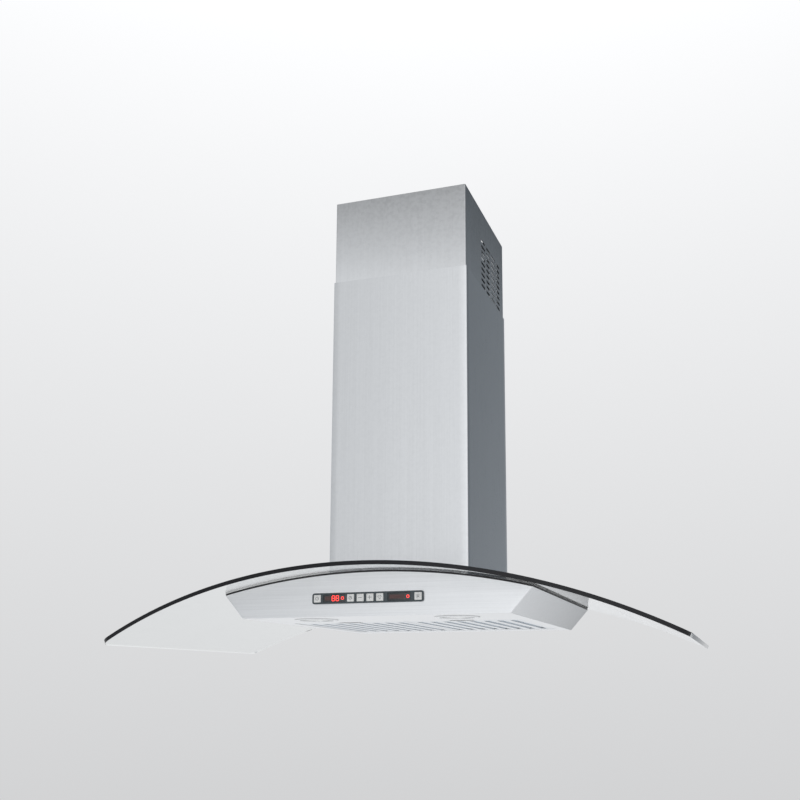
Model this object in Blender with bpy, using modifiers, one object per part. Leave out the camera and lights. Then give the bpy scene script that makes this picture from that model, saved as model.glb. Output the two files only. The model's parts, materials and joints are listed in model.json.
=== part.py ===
"""Island range hood with a curved glass canopy, hung from a ceiling plate.

Units are metres, +Z is up and the front faces -Y.  The origin is the middle of the
ceiling plate's top face.  Everything on the hood itself is placed from the underside of
its steel body, through an empty that hangs at that height.
"""
import math

import bmesh
import bpy
from mathutils import Matrix, Vector

# ---- overall -------------------------------------------------------------------------
HANG = 0.712              # ceiling down to the body's underside
TOUCH = 0.0003            # gap between pieces that touch
OVERCUT = 0.010           # how far a cutter runs past the face it opens

# ---- glass canopy --------------------------------------------------------------------
GLASS_WIDTH = 0.900
GLASS_DEPTH = 0.600       # front to back at the middle
GLASS_END_DEPTH = 0.500   # front to back at each end
GLASS_THICKNESS = 0.006
GLASS_CROWN = 0.070       # middle of the thickness, above the underside, at the crown
GLASS_RISE = 0.105        # crown above the ends
GLASS_CORNER = 0.020
GLASS_STRIPS = 36
GASKET_THICKNESS = 0.0024
GASKET_WIDTH = 0.004

# ---- steel body ----------------------------------------------------------------------
BODY_WIDTH = 0.417        # at the underside
BODY_DEPTH = 0.471
BODY_SLOPE = 0.871        # how far a side leans out for each unit of height
BODY_SHEET = 0.001
PANEL_SHEET = 0.001
PANEL_LIP = 0.010
CHASSIS_WIDTH = 0.300
CHASSIS_SHEET = 0.002
CHASSIS_FLANGE = 0.008
CHASSIS_OVER_TRAY = 0.0012  # flange above the control tray

# ---- telescopic chimney and its frame ------------------------------------------------
COVER_WIDTH = 0.232
COVER_DEPTH = 0.252
COVER_SHEET = 0.001
COVER_RUNNING = 0.0007    # between the two covers
COVER_EDGE = 0.0016       # outside radius of a folded corner
LOWER_COVER_TOP = 0.569
COVER_OVERLAP = 0.219
VENT_LENGTH = 0.025
VENT_HEIGHT = 0.0045
VENT_COLUMNS = 4
VENT_ROWS = 9
VENT_COLUMN_PITCH = 0.0335
VENT_ROW_PITCH = 0.010
VENT_FIRST_COLUMN = -0.0145
VENT_ABOVE_COVER = 0.0075  # lowest row above the lower cover's top edge
PLATE_SHEET = 0.002
PLATE_FLANGE = 0.025
PLATE_CLEARANCE = 0.001
PLATE_OPENING_MARGIN = 0.0245
PLATE_CORNER = 0.012
SCREW_HOLE_RADIUS = 0.004
SCREW_HOLE_Y = 0.075
POST_LEG = 0.020
UPPER_POST_SHEET = 0.002
LOWER_POST_SHEET = 0.0015
POST_TO_FLANGE = 0.0005
LOWER_POST_TOP = 0.560
POST_OVERLAP = 0.290

# ---- blower --------------------------------------------------------------------------
NECK_WIDTH = 0.168
NECK_DEPTH = 0.188
NECK_SHEET = 0.0012
NECK_CORNER = 0.014
GLASS_TO_NECK = 0.006
BASE_BOTTOM = 0.085
BASE_SHEET = 0.003
BASE_TO_COVER = 0.003
BASE_CORNER = 0.0035
BOX_SHEET = 0.001
BOX_TO_POST = 0.001
BOX_TOP = 0.300
STANDOFF_RADIUS = 0.005
STANDOFF_IN_GLASS = 0.001
STANDOFF_FROM_NECK = 0.017
WHEEL_HEIGHT = 0.190      # the wheel's axis above the underside
WHEEL_RADIUS = 0.066
WHEEL_BORE = 0.056        # inside of the ring of blades
WHEEL_WIDTH = 0.100
WHEEL_BLADES = 24
BLADE_THICKNESS = 0.002
SCROLL_WIDTH = 0.107      # inside
SCROLL_WALL = 0.002
SCROLL_START = 0.074      # radius at the tongue
SCROLL_END = 0.106        # radius where the scroll runs straight up
SCROLL_TONGUE = 110.0     # degrees from +Y, round towards the front
SCROLL_MOUTH_FRONT = -0.073
INLET_RADIUS = 0.054
MOTOR_RADIUS = 0.042
MOTOR_LENGTH = 0.055
SHAFT_RADIUS = 0.004
HUB_RADIUS = 0.012
HUB_LENGTH = 0.012
HUB_BEHIND_WEB = 0.004    # the rest stands out past the web
SHAFT_PAST_HUB = 0.006
MOTOR_CHAMFER = 0.004
MOTOR_SOCKET = 0.033      # depth of the shaft's bore in the motor
BRACKET_HALF_WIDTH = 0.014
BRACKET_PAST_INLET = 0.014
BRACKET_LEG = 0.010
COLLAR_RADIUS = 0.075     # for a 150 mm duct
COLLAR_SHEET = 0.0015
COLLAR_TOP = 0.350
COLLAR_FLANGE = 0.012
FLAP_HEIGHT = 0.326
FLAP_SHEET = 0.001
FLAP_CLEARANCE = 0.002
FLAP_PIN_RADIUS = 0.0015
FLAP_KNUCKLE_RADIUS = 0.0034
FLAP_KNUCKLE = 0.030

# ---- electrical pieces ---------------------------------------------------------------
SHELF_MARGIN = 0.002      # pieces on the blower box, behind its front edge
TERMINAL_X = (-0.100, -0.030)
TERMINAL_DEPTH = 0.022
TERMINAL_HEIGHT = 0.036
CASE_CORNER = 0.003
GLAND_X = -0.065
GLAND_BORE = 0.0045
GLAND_RADII = (0.0062, 0.0080, 0.0098)   # dome, nut, flange
GLAND_HEIGHTS = (0.006, 0.012, 0.018)    # flange, nut, dome
CAPACITOR_X = 0.020
CAPACITOR_RADIUS = 0.010
CAPACITOR_HEIGHT = 0.045
SUPPLY_HALF = (0.045, 0.020)
SUPPLY_TOP = 0.026

# ---- controls ------------------------------------------------------------------------
PANEL_X = -0.0055         # middle of the control strip
STRIP_WIDTH = 0.1737
STRIP_HEIGHT = 0.016
STRIP_CENTRE = 0.0268     # above the underside
STRIP_PROUD = 0.002
STRIP_DEPTH = 0.006
STRIP_LAP = 0.001         # strip over the edge of its opening
BUTTON = 0.011
BUTTON_GAP = 0.00025
BUTTON_PROUD = 0.001
BUTTON_TRAVEL = 0.0012
BUTTON_PITCH = 0.0152
END_BUTTON_X = 0.0786
MIDDLE_BUTTONS_X = -0.0028
BUTTON_FLANGE = 0.0124
BUTTON_FLANGE_SHEET = 0.001
WINDOW_WIDTH = 0.035
WINDOW_HEIGHT = 0.0115
WINDOW_X = (-0.0520, 0.0495)
BOARD_SHEET = 0.0016
TRAY_MARGIN = 0.008
TRAY_WALL = 0.0012
STEM = 0.004
LENS_DEPTH = 0.003
BOARD_BEHIND_STRIP = 0.0045

# ---- lamps ---------------------------------------------------------------------------
LAMP_X = 0.113
LAMP_Y = -0.176
LAMP_RADIUS = 0.034       # outside of the ring
LAMP_OPENING = 0.0262
LAMP_SLEEVE = 0.0298
LAMP_WALL = 0.001
LAMP_PROUD = 0.0018
LAMP_CAN_TOP = 0.028
LAMP_SLEEVE_TOP = 0.010
LAMP_CHAMFER = 0.0015
LAMP_LIP = 0.0013         # slope and depth of the ring's inner lip
LENS_THICKNESS = 0.0025

# ---- grease filters ------------------------------------------------------------------
FILTER_WIDTH = 0.186
FILTER_DEPTH = 0.290
FILTER_THICKNESS = 0.011
FILTER_SHEET = 0.001
FILTER_BACK_Y = 0.190
FILTER_GAP = 0.0015       # round each filter in the panel's opening
FILTER_BOTTOM = 0.0005
BAFFLE_PITCH = 0.022
BAFFLE_SLOT = 0.010
BAFFLE_COUNT = 8
BAFFLE_FRONT = 0.034      # first of the slots behind the filter's front edge
BAFFLE_BACK = 0.012
HINGE_FROM_BACK = 0.002
HINGE_UP = 0.0035
TAB_WIDTH = 0.018
TAB_REACH = 0.006
TAB_THICKNESS = 0.002
LATCH_WIDTH = 0.039
LATCH_DEPTH = 0.012
LATCH_TRAVEL = 0.005
LATCH_FROM_FRONT = 0.0045
LATCH_SHEET = 0.0015
LATCH_SIDE = 0.004
TONGUE_WIDTH = 0.020

# ---- values worked out from the sizes above ------------------------------------------
ARC_RADIUS = ((GLASS_WIDTH / 2) ** 2 + GLASS_RISE ** 2) / (2 * GLASS_RISE)
ARC_CENTRE = GLASS_CROWN - ARC_RADIUS
GLASS_TOP = GLASS_THICKNESS / 2
GLASS_BOTTOM = -GLASS_THICKNESS / 2
COVER_HALF = (COVER_WIDTH / 2, COVER_DEPTH / 2)


def inset(half, by):
    """Half sizes drawn in by the same amount on each side."""
    return (half[0] - by, half[1] - by)


UPPER_HALF = inset(COVER_HALF, COVER_SHEET + COVER_RUNNING)
PLATE_HALF = inset(UPPER_HALF, COVER_SHEET + PLATE_CLEARANCE)
UPPER_POST_HALF = inset(PLATE_HALF, PLATE_SHEET + POST_TO_FLANGE)
LOWER_POST_HALF = inset(UPPER_POST_HALF, UPPER_POST_SHEET + TOUCH)
BOX_HALF = inset(LOWER_POST_HALF, LOWER_POST_SHEET + BOX_TO_POST)
BASE_HALF = inset(COVER_HALF, COVER_SHEET + BASE_TO_COVER)
NECK_HALF = (NECK_WIDTH / 2, NECK_DEPTH / 2)
BASE_TOP = BASE_BOTTOM + BASE_SHEET
FRONT = -BODY_DEPTH / 2
PAST_GLASS = GLASS_CROWN + GLASS_THICKNESS + OVERCUT   # above the glass at its crown
STRIP_FRONT = FRONT - STRIP_PROUD
STRIP_BACK = STRIP_FRONT + STRIP_DEPTH
TRAY_TOP = STRIP_CENTRE + (STRIP_HEIGHT + TRAY_MARGIN) / 2
CHASSIS_TOP = TRAY_TOP + CHASSIS_OVER_TRAY + CHASSIS_FLANGE
FILTER_FRONT_Y = FILTER_BACK_Y - FILTER_DEPTH
FILTER_TOP = FILTER_BOTTOM + FILTER_THICKNESS


def new_collection(name):
    """A collection linked to the scene."""
    made = bpy.data.collections.new(name)
    bpy.context.scene.collection.children.link(made)
    return made


for leftover in list(bpy.data.objects):
    bpy.data.objects.remove(leftover, do_unlink=True)
PARTS = new_collection("island_range_hood")
CUTTERS = new_collection("cutters")


def body_empty(name, height):
    """An empty that carries the pieces of one body."""
    empty = bpy.data.objects.new(name, None)
    empty.location = (0, 0, height)
    PARTS.objects.link(empty)
    return empty


CEILING = body_empty("ceiling_frame", 0.0)
UPPER = body_empty("upper_cover", -HANG)
HOOD = body_empty("hood", -HANG)

FINISHES = {
    "brushed": ((0.62, 0.64, 0.65), 0.32, 1.0),
    "satin_body": ((0.70, 0.72, 0.74), 0.38, 1.0),
    "zinc": ((0.55, 0.56, 0.57), 0.45, 1.0),
    "glass": ((0.80, 0.88, 0.88), 0.03, 0.0),
    "rubber": ((0.02, 0.02, 0.022), 0.7, 0.0),
    "strip": ((0.055, 0.068, 0.078), 0.25, 0.0),
    "button": ((0.78, 0.78, 0.76), 0.45, 0.0),
    "display": ((0.08, 0.008, 0.008), 0.12, 0.0),
    "black_plastic": ((0.03, 0.03, 0.032), 0.5, 0.0),
    "board": ((0.02, 0.12, 0.05), 0.5, 0.0),
    "lens": ((0.90, 0.90, 0.86), 0.25, 0.0),
    "filter": ((0.66, 0.69, 0.72), 0.35, 1.0),
    "white_plastic": ((0.75, 0.75, 0.73), 0.5, 0.0),
    "motor": ((0.33, 0.34, 0.35), 0.4, 1.0),
}


def finish(name):
    """The named material, made the first time it is asked for."""
    if name in bpy.data.materials:
        return bpy.data.materials[name]
    colour, roughness, metallic = FINISHES[name]
    material = bpy.data.materials.new(name)
    material.use_nodes = True
    shader = material.node_tree.nodes["Principled BSDF"]
    shader.inputs["Base Color"].default_value = (*colour, 1.0)
    shader.inputs["Roughness"].default_value = roughness
    shader.inputs["Metallic"].default_value = metallic
    return material


def add_object(name, mesh, location, parent, look=None):
    """An object for the mesh: a part when it has a look, or else a cutter."""
    made = bpy.data.objects.new(name, mesh)
    made.location = location
    made.parent = parent
    if look:
        mesh.materials.append(finish(look))
        PARTS.objects.link(made)
    else:
        made.hide_render = True
        made.display_type = "WIRE"
        CUTTERS.objects.link(made)
    return made


def mesh_from(bm, name):
    """Turns the working mesh into a mesh datablock."""
    mesh = bpy.data.meshes.new(name)
    bm.to_mesh(mesh)
    bm.free()
    return mesh


def block(name, low, high, parent, look=None, corner=0.0):
    """A box from its low to its high corner; corner rounds its upright edges."""
    low = Vector(low)
    size = Vector(high) - low
    bm = bmesh.new()
    bmesh.ops.create_cube(bm, size=1.0, matrix=Matrix.Diagonal((*size, 1.0)))
    if corner > 0:
        upright = [e for e in bm.edges if abs(e.verts[0].co.z - e.verts[1].co.z) > size.z / 2]
        bmesh.ops.bevel(bm, geom=upright, offset=corner, segments=4, profile=0.5, affect="EDGES")
    return add_object(name, mesh_from(bm, name), low + size / 2, parent, look)


def centred(name, half, bottom, top, parent, look=None, corner=0.0):
    """A box about the vertical axis, with half sizes in X and Y."""
    return block(name, (-half[0], -half[1], bottom), (half[0], half[1], top), parent, look, corner)


def many_blocks(name, boxes, parent):
    """One cutter made of separate boxes, each given by its low and high corner."""
    bm = bmesh.new()
    for low, high in boxes:
        size = Vector(high) - Vector(low)
        place = Matrix.Translation(Vector(low) + size / 2) @ Matrix.Diagonal((*size, 1.0))
        bmesh.ops.create_cube(bm, size=1.0, matrix=place)
    return add_object(name, mesh_from(bm, name), (0, 0, 0), parent)


AXIS_TURN = {
    "X": Matrix.Rotation(math.pi / 2, 4, "Y"),
    "Y": Matrix.Rotation(-math.pi / 2, 4, "X"),
    "Z": Matrix.Identity(4),
}


def rod(name, radius, start, length, axis, parent, look=None, segments=32):
    """A round bar that runs from its start point along +X, +Y or +Z."""
    bm = bmesh.new()
    lift = Matrix.Translation((0, 0, length / 2))
    bmesh.ops.create_cone(bm, cap_ends=True, segments=segments, radius1=radius, radius2=radius,
                          depth=length, matrix=AXIS_TURN[axis] @ lift)
    made = add_object(name, mesh_from(bm, name), start, parent, look)
    smooth_round(made)
    return made


def smooth_round(made):
    """Smooth shading with the true edges kept sharp."""
    made.data.shade_smooth()
    made.data.set_sharp_from_angle(angle=math.radians(35))


def turned(name, profile, location, parent, look=None, axis="Z", steps=48):
    """A turned piece: (radius, height) points run down its outer side and back up inside.

    A profile that ends on the axis stays open there; any other is closed into a ring.
    """
    bm = bmesh.new()
    points = [bm.verts.new((radius, 0, height)) for radius, height in profile]
    for first, second in zip(points, points[1:]):
        bm.edges.new((first, second))
    if profile[0][0] > 0:
        bm.edges.new((points[-1], points[0]))
    made = add_object(name, mesh_from(bm, name), location, parent, look)
    screw = made.modifiers.new("turn", "SCREW")
    screw.steps = steps
    screw.render_steps = steps
    screw.use_merge_vertices = True
    screw.merge_threshold = 0.00001
    screw.use_smooth_shade = True
    if axis != "Z":
        made.rotation_euler = AXIS_TURN[axis].to_euler()
    return made


def combine(target, other, operation):
    """Adds an exact Boolean of the other piece to the target."""
    step = target.modifiers.new(other.name, "BOOLEAN")
    step.operation = operation
    step.solver = "EXACT"
    step.object = other
    return target


def cut(target, *cutters):
    """Takes each cutter out of the target."""
    for cutter in cutters:
        combine(target, cutter, "DIFFERENCE")
    return target


def join(target, *pieces):
    """Adds each piece to the target, as one solid."""
    for piece in pieces:
        combine(target, piece, "UNION")
    return target


def origin_to(made, point):
    """Moves the object's origin without moving its shape."""
    shift = Vector(point) - made.location
    made.data.transform(Matrix.Translation(-shift))
    made.location = Vector(point)
    return made


# ---- the arc that glass, gasket, body and chimney share ------------------------------
def arc_height(x, offset):
    """Height above the underside of the surface that lies offset above the arc."""
    radius = ARC_RADIUS + offset
    return ARC_CENTRE + math.sqrt(radius ** 2 - x ** 2)


def bent_sheet(name, half_x, half_depth, top, thickness, parent, look=None, corner=0.0):
    """A sheet bent to the arc, its top face at the given offset, half_depth(x) deep each way."""
    bm = bmesh.new()
    bmesh.ops.create_grid(bm, x_segments=GLASS_STRIPS, y_segments=1, size=1.0)
    for vert in bm.verts:
        x = vert.co.x * half_x
        vert.co = (x, math.copysign(half_depth(x), vert.co.y), 0)
    if corner > 0:
        ends = [v for v in bm.verts if abs(v.co.x) > half_x - 1e-6]
        bmesh.ops.bevel(bm, geom=ends, offset=corner, segments=6, profile=0.5, affect="VERTICES")
    for vert in bm.verts:
        vert.co.z = arc_height(vert.co.x, top)
    made = add_object(name, mesh_from(bm, name), (0, 0, 0), parent, look)
    wall = made.modifiers.new("thickness", "SOLIDIFY")
    wall.thickness = thickness
    wall.offset = -1.0
    wall.use_even_offset = True
    return made


def above_arc(name, offset, half_x, half_y, parent):
    """A cutter for everything above the surface that lies offset above the arc."""
    slab = 4 * GLASS_RISE
    return bent_sheet(name, half_x, lambda x: half_y, offset + slab, slab, parent)


def below_arc(name, offset, half_x, half_y, parent):
    """A cutter for everything below the surface that lies offset above the arc."""
    return bent_sheet(name, half_x, lambda x: half_y, offset, GLASS_CROWN + GLASS_RISE, parent)


# ---- ceiling frame -------------------------------------------------------------------
SIDES = {"left": -1, "right": 1}
ENDS = {"front": -1, "rear": 1}


def build_ceiling_plate():
    """The plate screwed to the ceiling, with a flange down all round and a duct opening."""
    plate = centred("ceiling_plate", PLATE_HALF, -PLATE_FLANGE, 0, CEILING, "zinc")
    inside = centred("cut_plate_inside", inset(PLATE_HALF, PLATE_SHEET),
                     -PLATE_FLANGE - OVERCUT, -PLATE_SHEET, CEILING)
    opening = centred("cut_plate_opening", inset(PLATE_HALF, PLATE_OPENING_MARGIN),
                      -PLATE_FLANGE, OVERCUT, CEILING, corner=PLATE_CORNER)
    cut(plate, inside, opening)
    hole_x = PLATE_HALF[0] - PLATE_OPENING_MARGIN / 2
    for side, across in SIDES.items():
        for end, along in ENDS.items():
            start = (across * hole_x, along * SCREW_HOLE_Y, -OVERCUT)
            cut(plate, rod(f"cut_screw_{end}_{side}", SCREW_HOLE_RADIUS, start,
                           2 * OVERCUT, "Z", CEILING, segments=16))


def build_posts(prefix, half, sheet, bottom, top, parent):
    """Four angle posts whose outer corners stand at the half sizes."""
    for side, across in SIDES.items():
        for end, along in ENDS.items():
            outer = Vector((across * half[0], along * half[1], 0))
            inner = outer - Vector((across * POST_LEG, along * POST_LEG, 0))
            low = (min(outer.x, inner.x), min(outer.y, inner.y), bottom)
            high = (max(outer.x, inner.x), max(outer.y, inner.y), top)
            name = f"{prefix}_{end}_{side}"
            post = block(name, low, high, parent, "zinc")
            shift = Vector((across * sheet, along * sheet, 0))
            hollow_low = Vector((low[0], low[1], bottom - OVERCUT)) - shift
            hollow_high = Vector((high[0], high[1], top + OVERCUT)) - shift
            cut(post, block(f"cut_{name}", hollow_low, hollow_high, parent))


# ---- chimney covers ------------------------------------------------------------------
def sheet_tube(name, half, sheet, bottom, top, parent, look, corner):
    """A folded sheet tube about the vertical axis, given by its outside half sizes."""
    tube = centred(name, half, bottom, top, parent, look, corner)
    bore = centred(f"cut_{name}", inset(half, sheet), bottom - OVERCUT, top + OVERCUT, parent,
                   corner=max(corner - sheet, 0.0))
    return cut(tube, bore)


def build_upper_chimney():
    """The inner cover, with a field of vent slots on each side."""
    bottom = LOWER_COVER_TOP - COVER_OVERLAP
    cover = sheet_tube("upper_chimney", UPPER_HALF, COVER_SHEET, bottom, HANG - COVER_SHEET,
                       UPPER, "brushed", COVER_EDGE)
    reach = UPPER_HALF[0] + OVERCUT
    slots = []
    for column in range(VENT_COLUMNS):
        middle = VENT_FIRST_COLUMN + column * VENT_COLUMN_PITCH
        for row in range(VENT_ROWS):
            low_z = LOWER_COVER_TOP + VENT_ABOVE_COVER + row * VENT_ROW_PITCH - VENT_HEIGHT / 2
            slots.append(((-reach, middle - VENT_LENGTH / 2, low_z),
                          (reach, middle + VENT_LENGTH / 2, low_z + VENT_HEIGHT)))
    cut(cover, many_blocks("cut_vents", slots, UPPER))


def build_lower_chimney():
    """The outer cover, cut along its foot to follow the glass."""
    cover = sheet_tube("lower_chimney", COVER_HALF, COVER_SHEET, 0.0, LOWER_COVER_TOP,
                       HOOD, "brushed", COVER_EDGE)
    cut(cover, below_arc("cut_cover_foot", GLASS_TOP + TOUCH, COVER_WIDTH, COVER_DEPTH, HOOD))


# ---- glass ---------------------------------------------------------------------------
def glass_half_depth(x):
    """Half the glass's front-to-back size where it crosses x."""
    bow = (GLASS_DEPTH - GLASS_END_DEPTH) / 2
    return GLASS_DEPTH / 2 - bow * (2 * x / GLASS_WIDTH) ** 2


def standoff_places():
    """The four (x, y) places of the bolts that carry the body through the glass."""
    x = NECK_HALF[0] + STANDOFF_FROM_NECK
    y = NECK_HALF[1] + STANDOFF_FROM_NECK
    return {f"{end}_{side}": (across * x, along * y)
            for end, along in ENDS.items() for side, across in SIDES.items()}


def build_glass():
    """The curved canopy, its opening for the neck, and the black gasket under it."""
    glass = bent_sheet("glass_canopy", GLASS_WIDTH / 2, glass_half_depth, GLASS_TOP,
                       GLASS_THICKNESS, HOOD, "glass", GLASS_CORNER)
    cut(glass, centred("cut_glass_neck", inset(NECK_HALF, -GLASS_TO_NECK), 0, PAST_GLASS,
                       HOOD, corner=NECK_CORNER + GLASS_TO_NECK))
    for place, (x, y) in standoff_places().items():
        cut(glass, rod(f"cut_glass_{place}", STANDOFF_RADIUS + STANDOFF_IN_GLASS, (x, y, 0),
                       PAST_GLASS, "Z", HOOD, segments=20))
    gasket_top = GLASS_BOTTOM - TOUCH
    edge = body_top_half()
    gasket = bent_sheet("glass_gasket", edge, lambda x: BODY_DEPTH / 2, gasket_top,
                        GASKET_THICKNESS, HOOD, "rubber")
    inner = (edge - GASKET_WIDTH, BODY_DEPTH / 2 - GASKET_WIDTH)
    cut(gasket, centred("cut_gasket", inner, -OVERCUT, PAST_GLASS, HOOD))


def body_seat():
    """Offset from the arc to the body's top edge, under the gasket."""
    return GLASS_BOTTOM - 2 * TOUCH - GASKET_THICKNESS


def body_top_half():
    """Half the body's width where its leaning side meets the gasket."""
    x = BODY_WIDTH / 2
    for _ in range(20):
        x = BODY_WIDTH / 2 + BODY_SLOPE * arc_height(x, body_seat())
    return x


# ---- body ----------------------------------------------------------------------------
def flared_block(name, half, bottom, top, parent, look=None):
    """A block whose left and right sides lean out; half sizes are given at height zero."""
    made = centred(name, (1.0, half[1]), bottom, top, parent, look)
    middle = made.location.z
    for vert in made.data.vertices:
        vert.co.x = math.copysign(half[0] + BODY_SLOPE * (vert.co.z + middle), vert.co.x)
    return made


def build_body_shell():
    """The folded steel body: four walls, cut to the arc on top, with the strip's opening."""
    half = (BODY_WIDTH / 2, BODY_DEPTH / 2)
    top = GLASS_CROWN + OVERCUT
    shell = flared_block("body_shell", half, 0.0, top, HOOD, "satin_body")
    lean = BODY_SHEET * math.hypot(1.0, BODY_SLOPE)
    inside = flared_block("cut_body_inside", (half[0] - lean, half[1] - BODY_SHEET),
                          -OVERCUT, top + OVERCUT, HOOD)
    crown = above_arc("cut_body_crown", body_seat(), BODY_WIDTH, BODY_DEPTH, HOOD)
    wide = STRIP_WIDTH / 2 - STRIP_LAP
    tall = STRIP_HEIGHT / 2 - STRIP_LAP
    window = block("cut_strip_opening",
                   (PANEL_X - wide, FRONT - OVERCUT, STRIP_CENTRE - tall),
                   (PANEL_X + wide, FRONT + OVERCUT, STRIP_CENTRE + tall), HOOD)
    cut(shell, inside, crown, window)


def build_underside_panel():
    """The tray that closes the body below, open for the filters and the lamps."""
    lean = BODY_SHEET * math.hypot(1.0, BODY_SLOPE)
    half = (BODY_WIDTH / 2 - lean - TOUCH, BODY_DEPTH / 2 - BODY_SHEET - TOUCH)
    panel = centred("underside_panel", half, 0.0, PANEL_LIP, HOOD, "satin_body")
    inside = centred("cut_panel_inside", inset(half, PANEL_SHEET), PANEL_SHEET,
                     PANEL_LIP + OVERCUT, HOOD)
    wide = FILTER_WIDTH + 1.5 * FILTER_GAP
    opening = block("cut_filter_opening", (-wide, FILTER_FRONT_Y - FILTER_GAP, -OVERCUT),
                    (wide, FILTER_BACK_Y + FILTER_GAP, PANEL_LIP), HOOD, corner=FILTER_GAP)
    cut(panel, inside, opening)
    for side, across in SIDES.items():
        cut(panel, rod(f"cut_lamp_{side}", LAMP_SLEEVE + 2 * TOUCH,
                       (across * LAMP_X, LAMP_Y, -OVERCUT), 2 * OVERCUT, "Z", HOOD, segments=40))


def build_chassis():
    """The bridge between the front and back walls that hangs from the four bolts."""
    half = (CHASSIS_WIDTH / 2, BODY_DEPTH / 2 - BODY_SHEET - TOUCH)
    chassis = centred("chassis_plate", half, CHASSIS_TOP - CHASSIS_FLANGE, CHASSIS_TOP,
                      HOOD, "zinc")
    under = centred("cut_chassis_under", (half[0] + OVERCUT, half[1] - CHASSIS_SHEET),
                    CHASSIS_TOP - 2 * CHASSIS_FLANGE, CHASSIS_TOP - CHASSIS_SHEET, HOOD)
    airway = centred("cut_chassis_airway", inset(NECK_HALF, NECK_SHEET), 0, 2 * CHASSIS_TOP,
                     HOOD, corner=NECK_CORNER)
    cut(chassis, under, airway)
    for place, (x, y) in standoff_places().items():
        rod(f"standoff_{place}", STANDOFF_RADIUS, (x, y, CHASSIS_TOP + TOUCH),
            BASE_BOTTOM - CHASSIS_TOP - 2 * TOUCH, "Z", HOOD, "zinc", segments=16)
    sheet_tube("air_neck", NECK_HALF, NECK_SHEET, CHASSIS_TOP + TOUCH, BASE_BOTTOM - TOUCH,
               HOOD, "zinc", NECK_CORNER)


# ---- blower --------------------------------------------------------------------------
def spiral_radius(angle):
    """Radius of the scroll's wall at an angle in degrees from +Y."""
    turn = (angle - SCROLL_TONGUE) / (360.0 - SCROLL_TONGUE)
    return SCROLL_START + (SCROLL_END - SCROLL_START) * turn


def scroll_outline(outward, mouth):
    """The scroll's outline in (y, height), moved outward by a wall, up to its mouth."""
    steps = 30
    points = []
    for step in range(steps + 1):
        angle = SCROLL_TONGUE + (360.0 - SCROLL_TONGUE) * step / steps
        radius = spiral_radius(angle) + outward
        points.append((radius * math.cos(math.radians(angle)),
                       WHEEL_HEIGHT + radius * math.sin(math.radians(angle))))
    points.append((SCROLL_END + outward, mouth))
    points.append((SCROLL_MOUTH_FRONT - outward, mouth))
    return points


def outline_prism(name, outline, half_width, parent, look=None):
    """A flat (y, height) outline made as thick as twice half_width along X."""
    curve = bpy.data.curves.new(name, "CURVE")
    curve.dimensions = "2D"
    curve.fill_mode = "BOTH"
    curve.extrude = half_width
    spline = curve.splines.new("POLY")
    spline.points.add(len(outline) - 1)
    for point, (y, height) in zip(spline.points, outline):
        point.co = (y, height, 0, 1)
    spline.use_cyclic_u = True
    guide = bpy.data.objects.new(name + "_guide", curve)
    CUTTERS.objects.link(guide)
    flat = bpy.data.meshes.new_from_object(guide.evaluated_get(bpy.context.evaluated_depsgraph_get()))
    bpy.data.objects.remove(guide, do_unlink=True)
    bm = bmesh.new()
    bm.from_mesh(flat)
    bmesh.ops.remove_doubles(bm, verts=bm.verts, dist=0.00001)
    turn = Matrix(((0, 0, 1, 0), (1, 0, 0, 0), (0, 1, 0, 0), (0, 0, 0, 1)))
    bmesh.ops.transform(bm, matrix=turn, verts=bm.verts)
    bmesh.ops.recalc_face_normals(bm, faces=bm.faces)
    return add_object(name, mesh_from(bm, name), (0, 0, 0), parent, look)


def build_blower_casing():
    """The base flange, the sheet box and the scroll inside it."""
    base = centred("blower_base", BASE_HALF, BASE_BOTTOM, BASE_TOP, HOOD, "zinc", BASE_CORNER)
    cut(base, centred("cut_base_airway", inset(NECK_HALF, NECK_SHEET), 0, BASE_TOP + OVERCUT,
                      HOOD, corner=NECK_CORNER))
    box = centred("blower_box", BOX_HALF, BASE_TOP + TOUCH, BOX_TOP, HOOD, "zinc", COVER_EDGE)
    inside = centred("cut_box_inside", inset(BOX_HALF, BOX_SHEET), BASE_TOP - OVERCUT,
                     BOX_TOP - BOX_SHEET, HOOD)
    mouth = block("cut_box_mouth",
                  (-SCROLL_WIDTH / 2, SCROLL_MOUTH_FRONT, BOX_TOP - OVERCUT),
                  (SCROLL_WIDTH / 2, SCROLL_END, BOX_TOP + OVERCUT), HOOD)
    cut(box, inside, mouth)
    top = BOX_TOP - BOX_SHEET - TOUCH
    scroll = outline_prism("scroll_housing", scroll_outline(SCROLL_WALL, top),
                           SCROLL_WIDTH / 2 + SCROLL_WALL, HOOD, "black_plastic")
    hollow = outline_prism("cut_scroll_hollow", scroll_outline(0.0, top + OVERCUT),
                           SCROLL_WIDTH / 2, HOOD)
    inlets = rod("cut_scroll_inlets", INLET_RADIUS, (-SCROLL_WIDTH, 0, WHEEL_HEIGHT),
                 2 * SCROLL_WIDTH, "X", HOOD, segments=48)
    cut(scroll, hollow, inlets)


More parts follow.
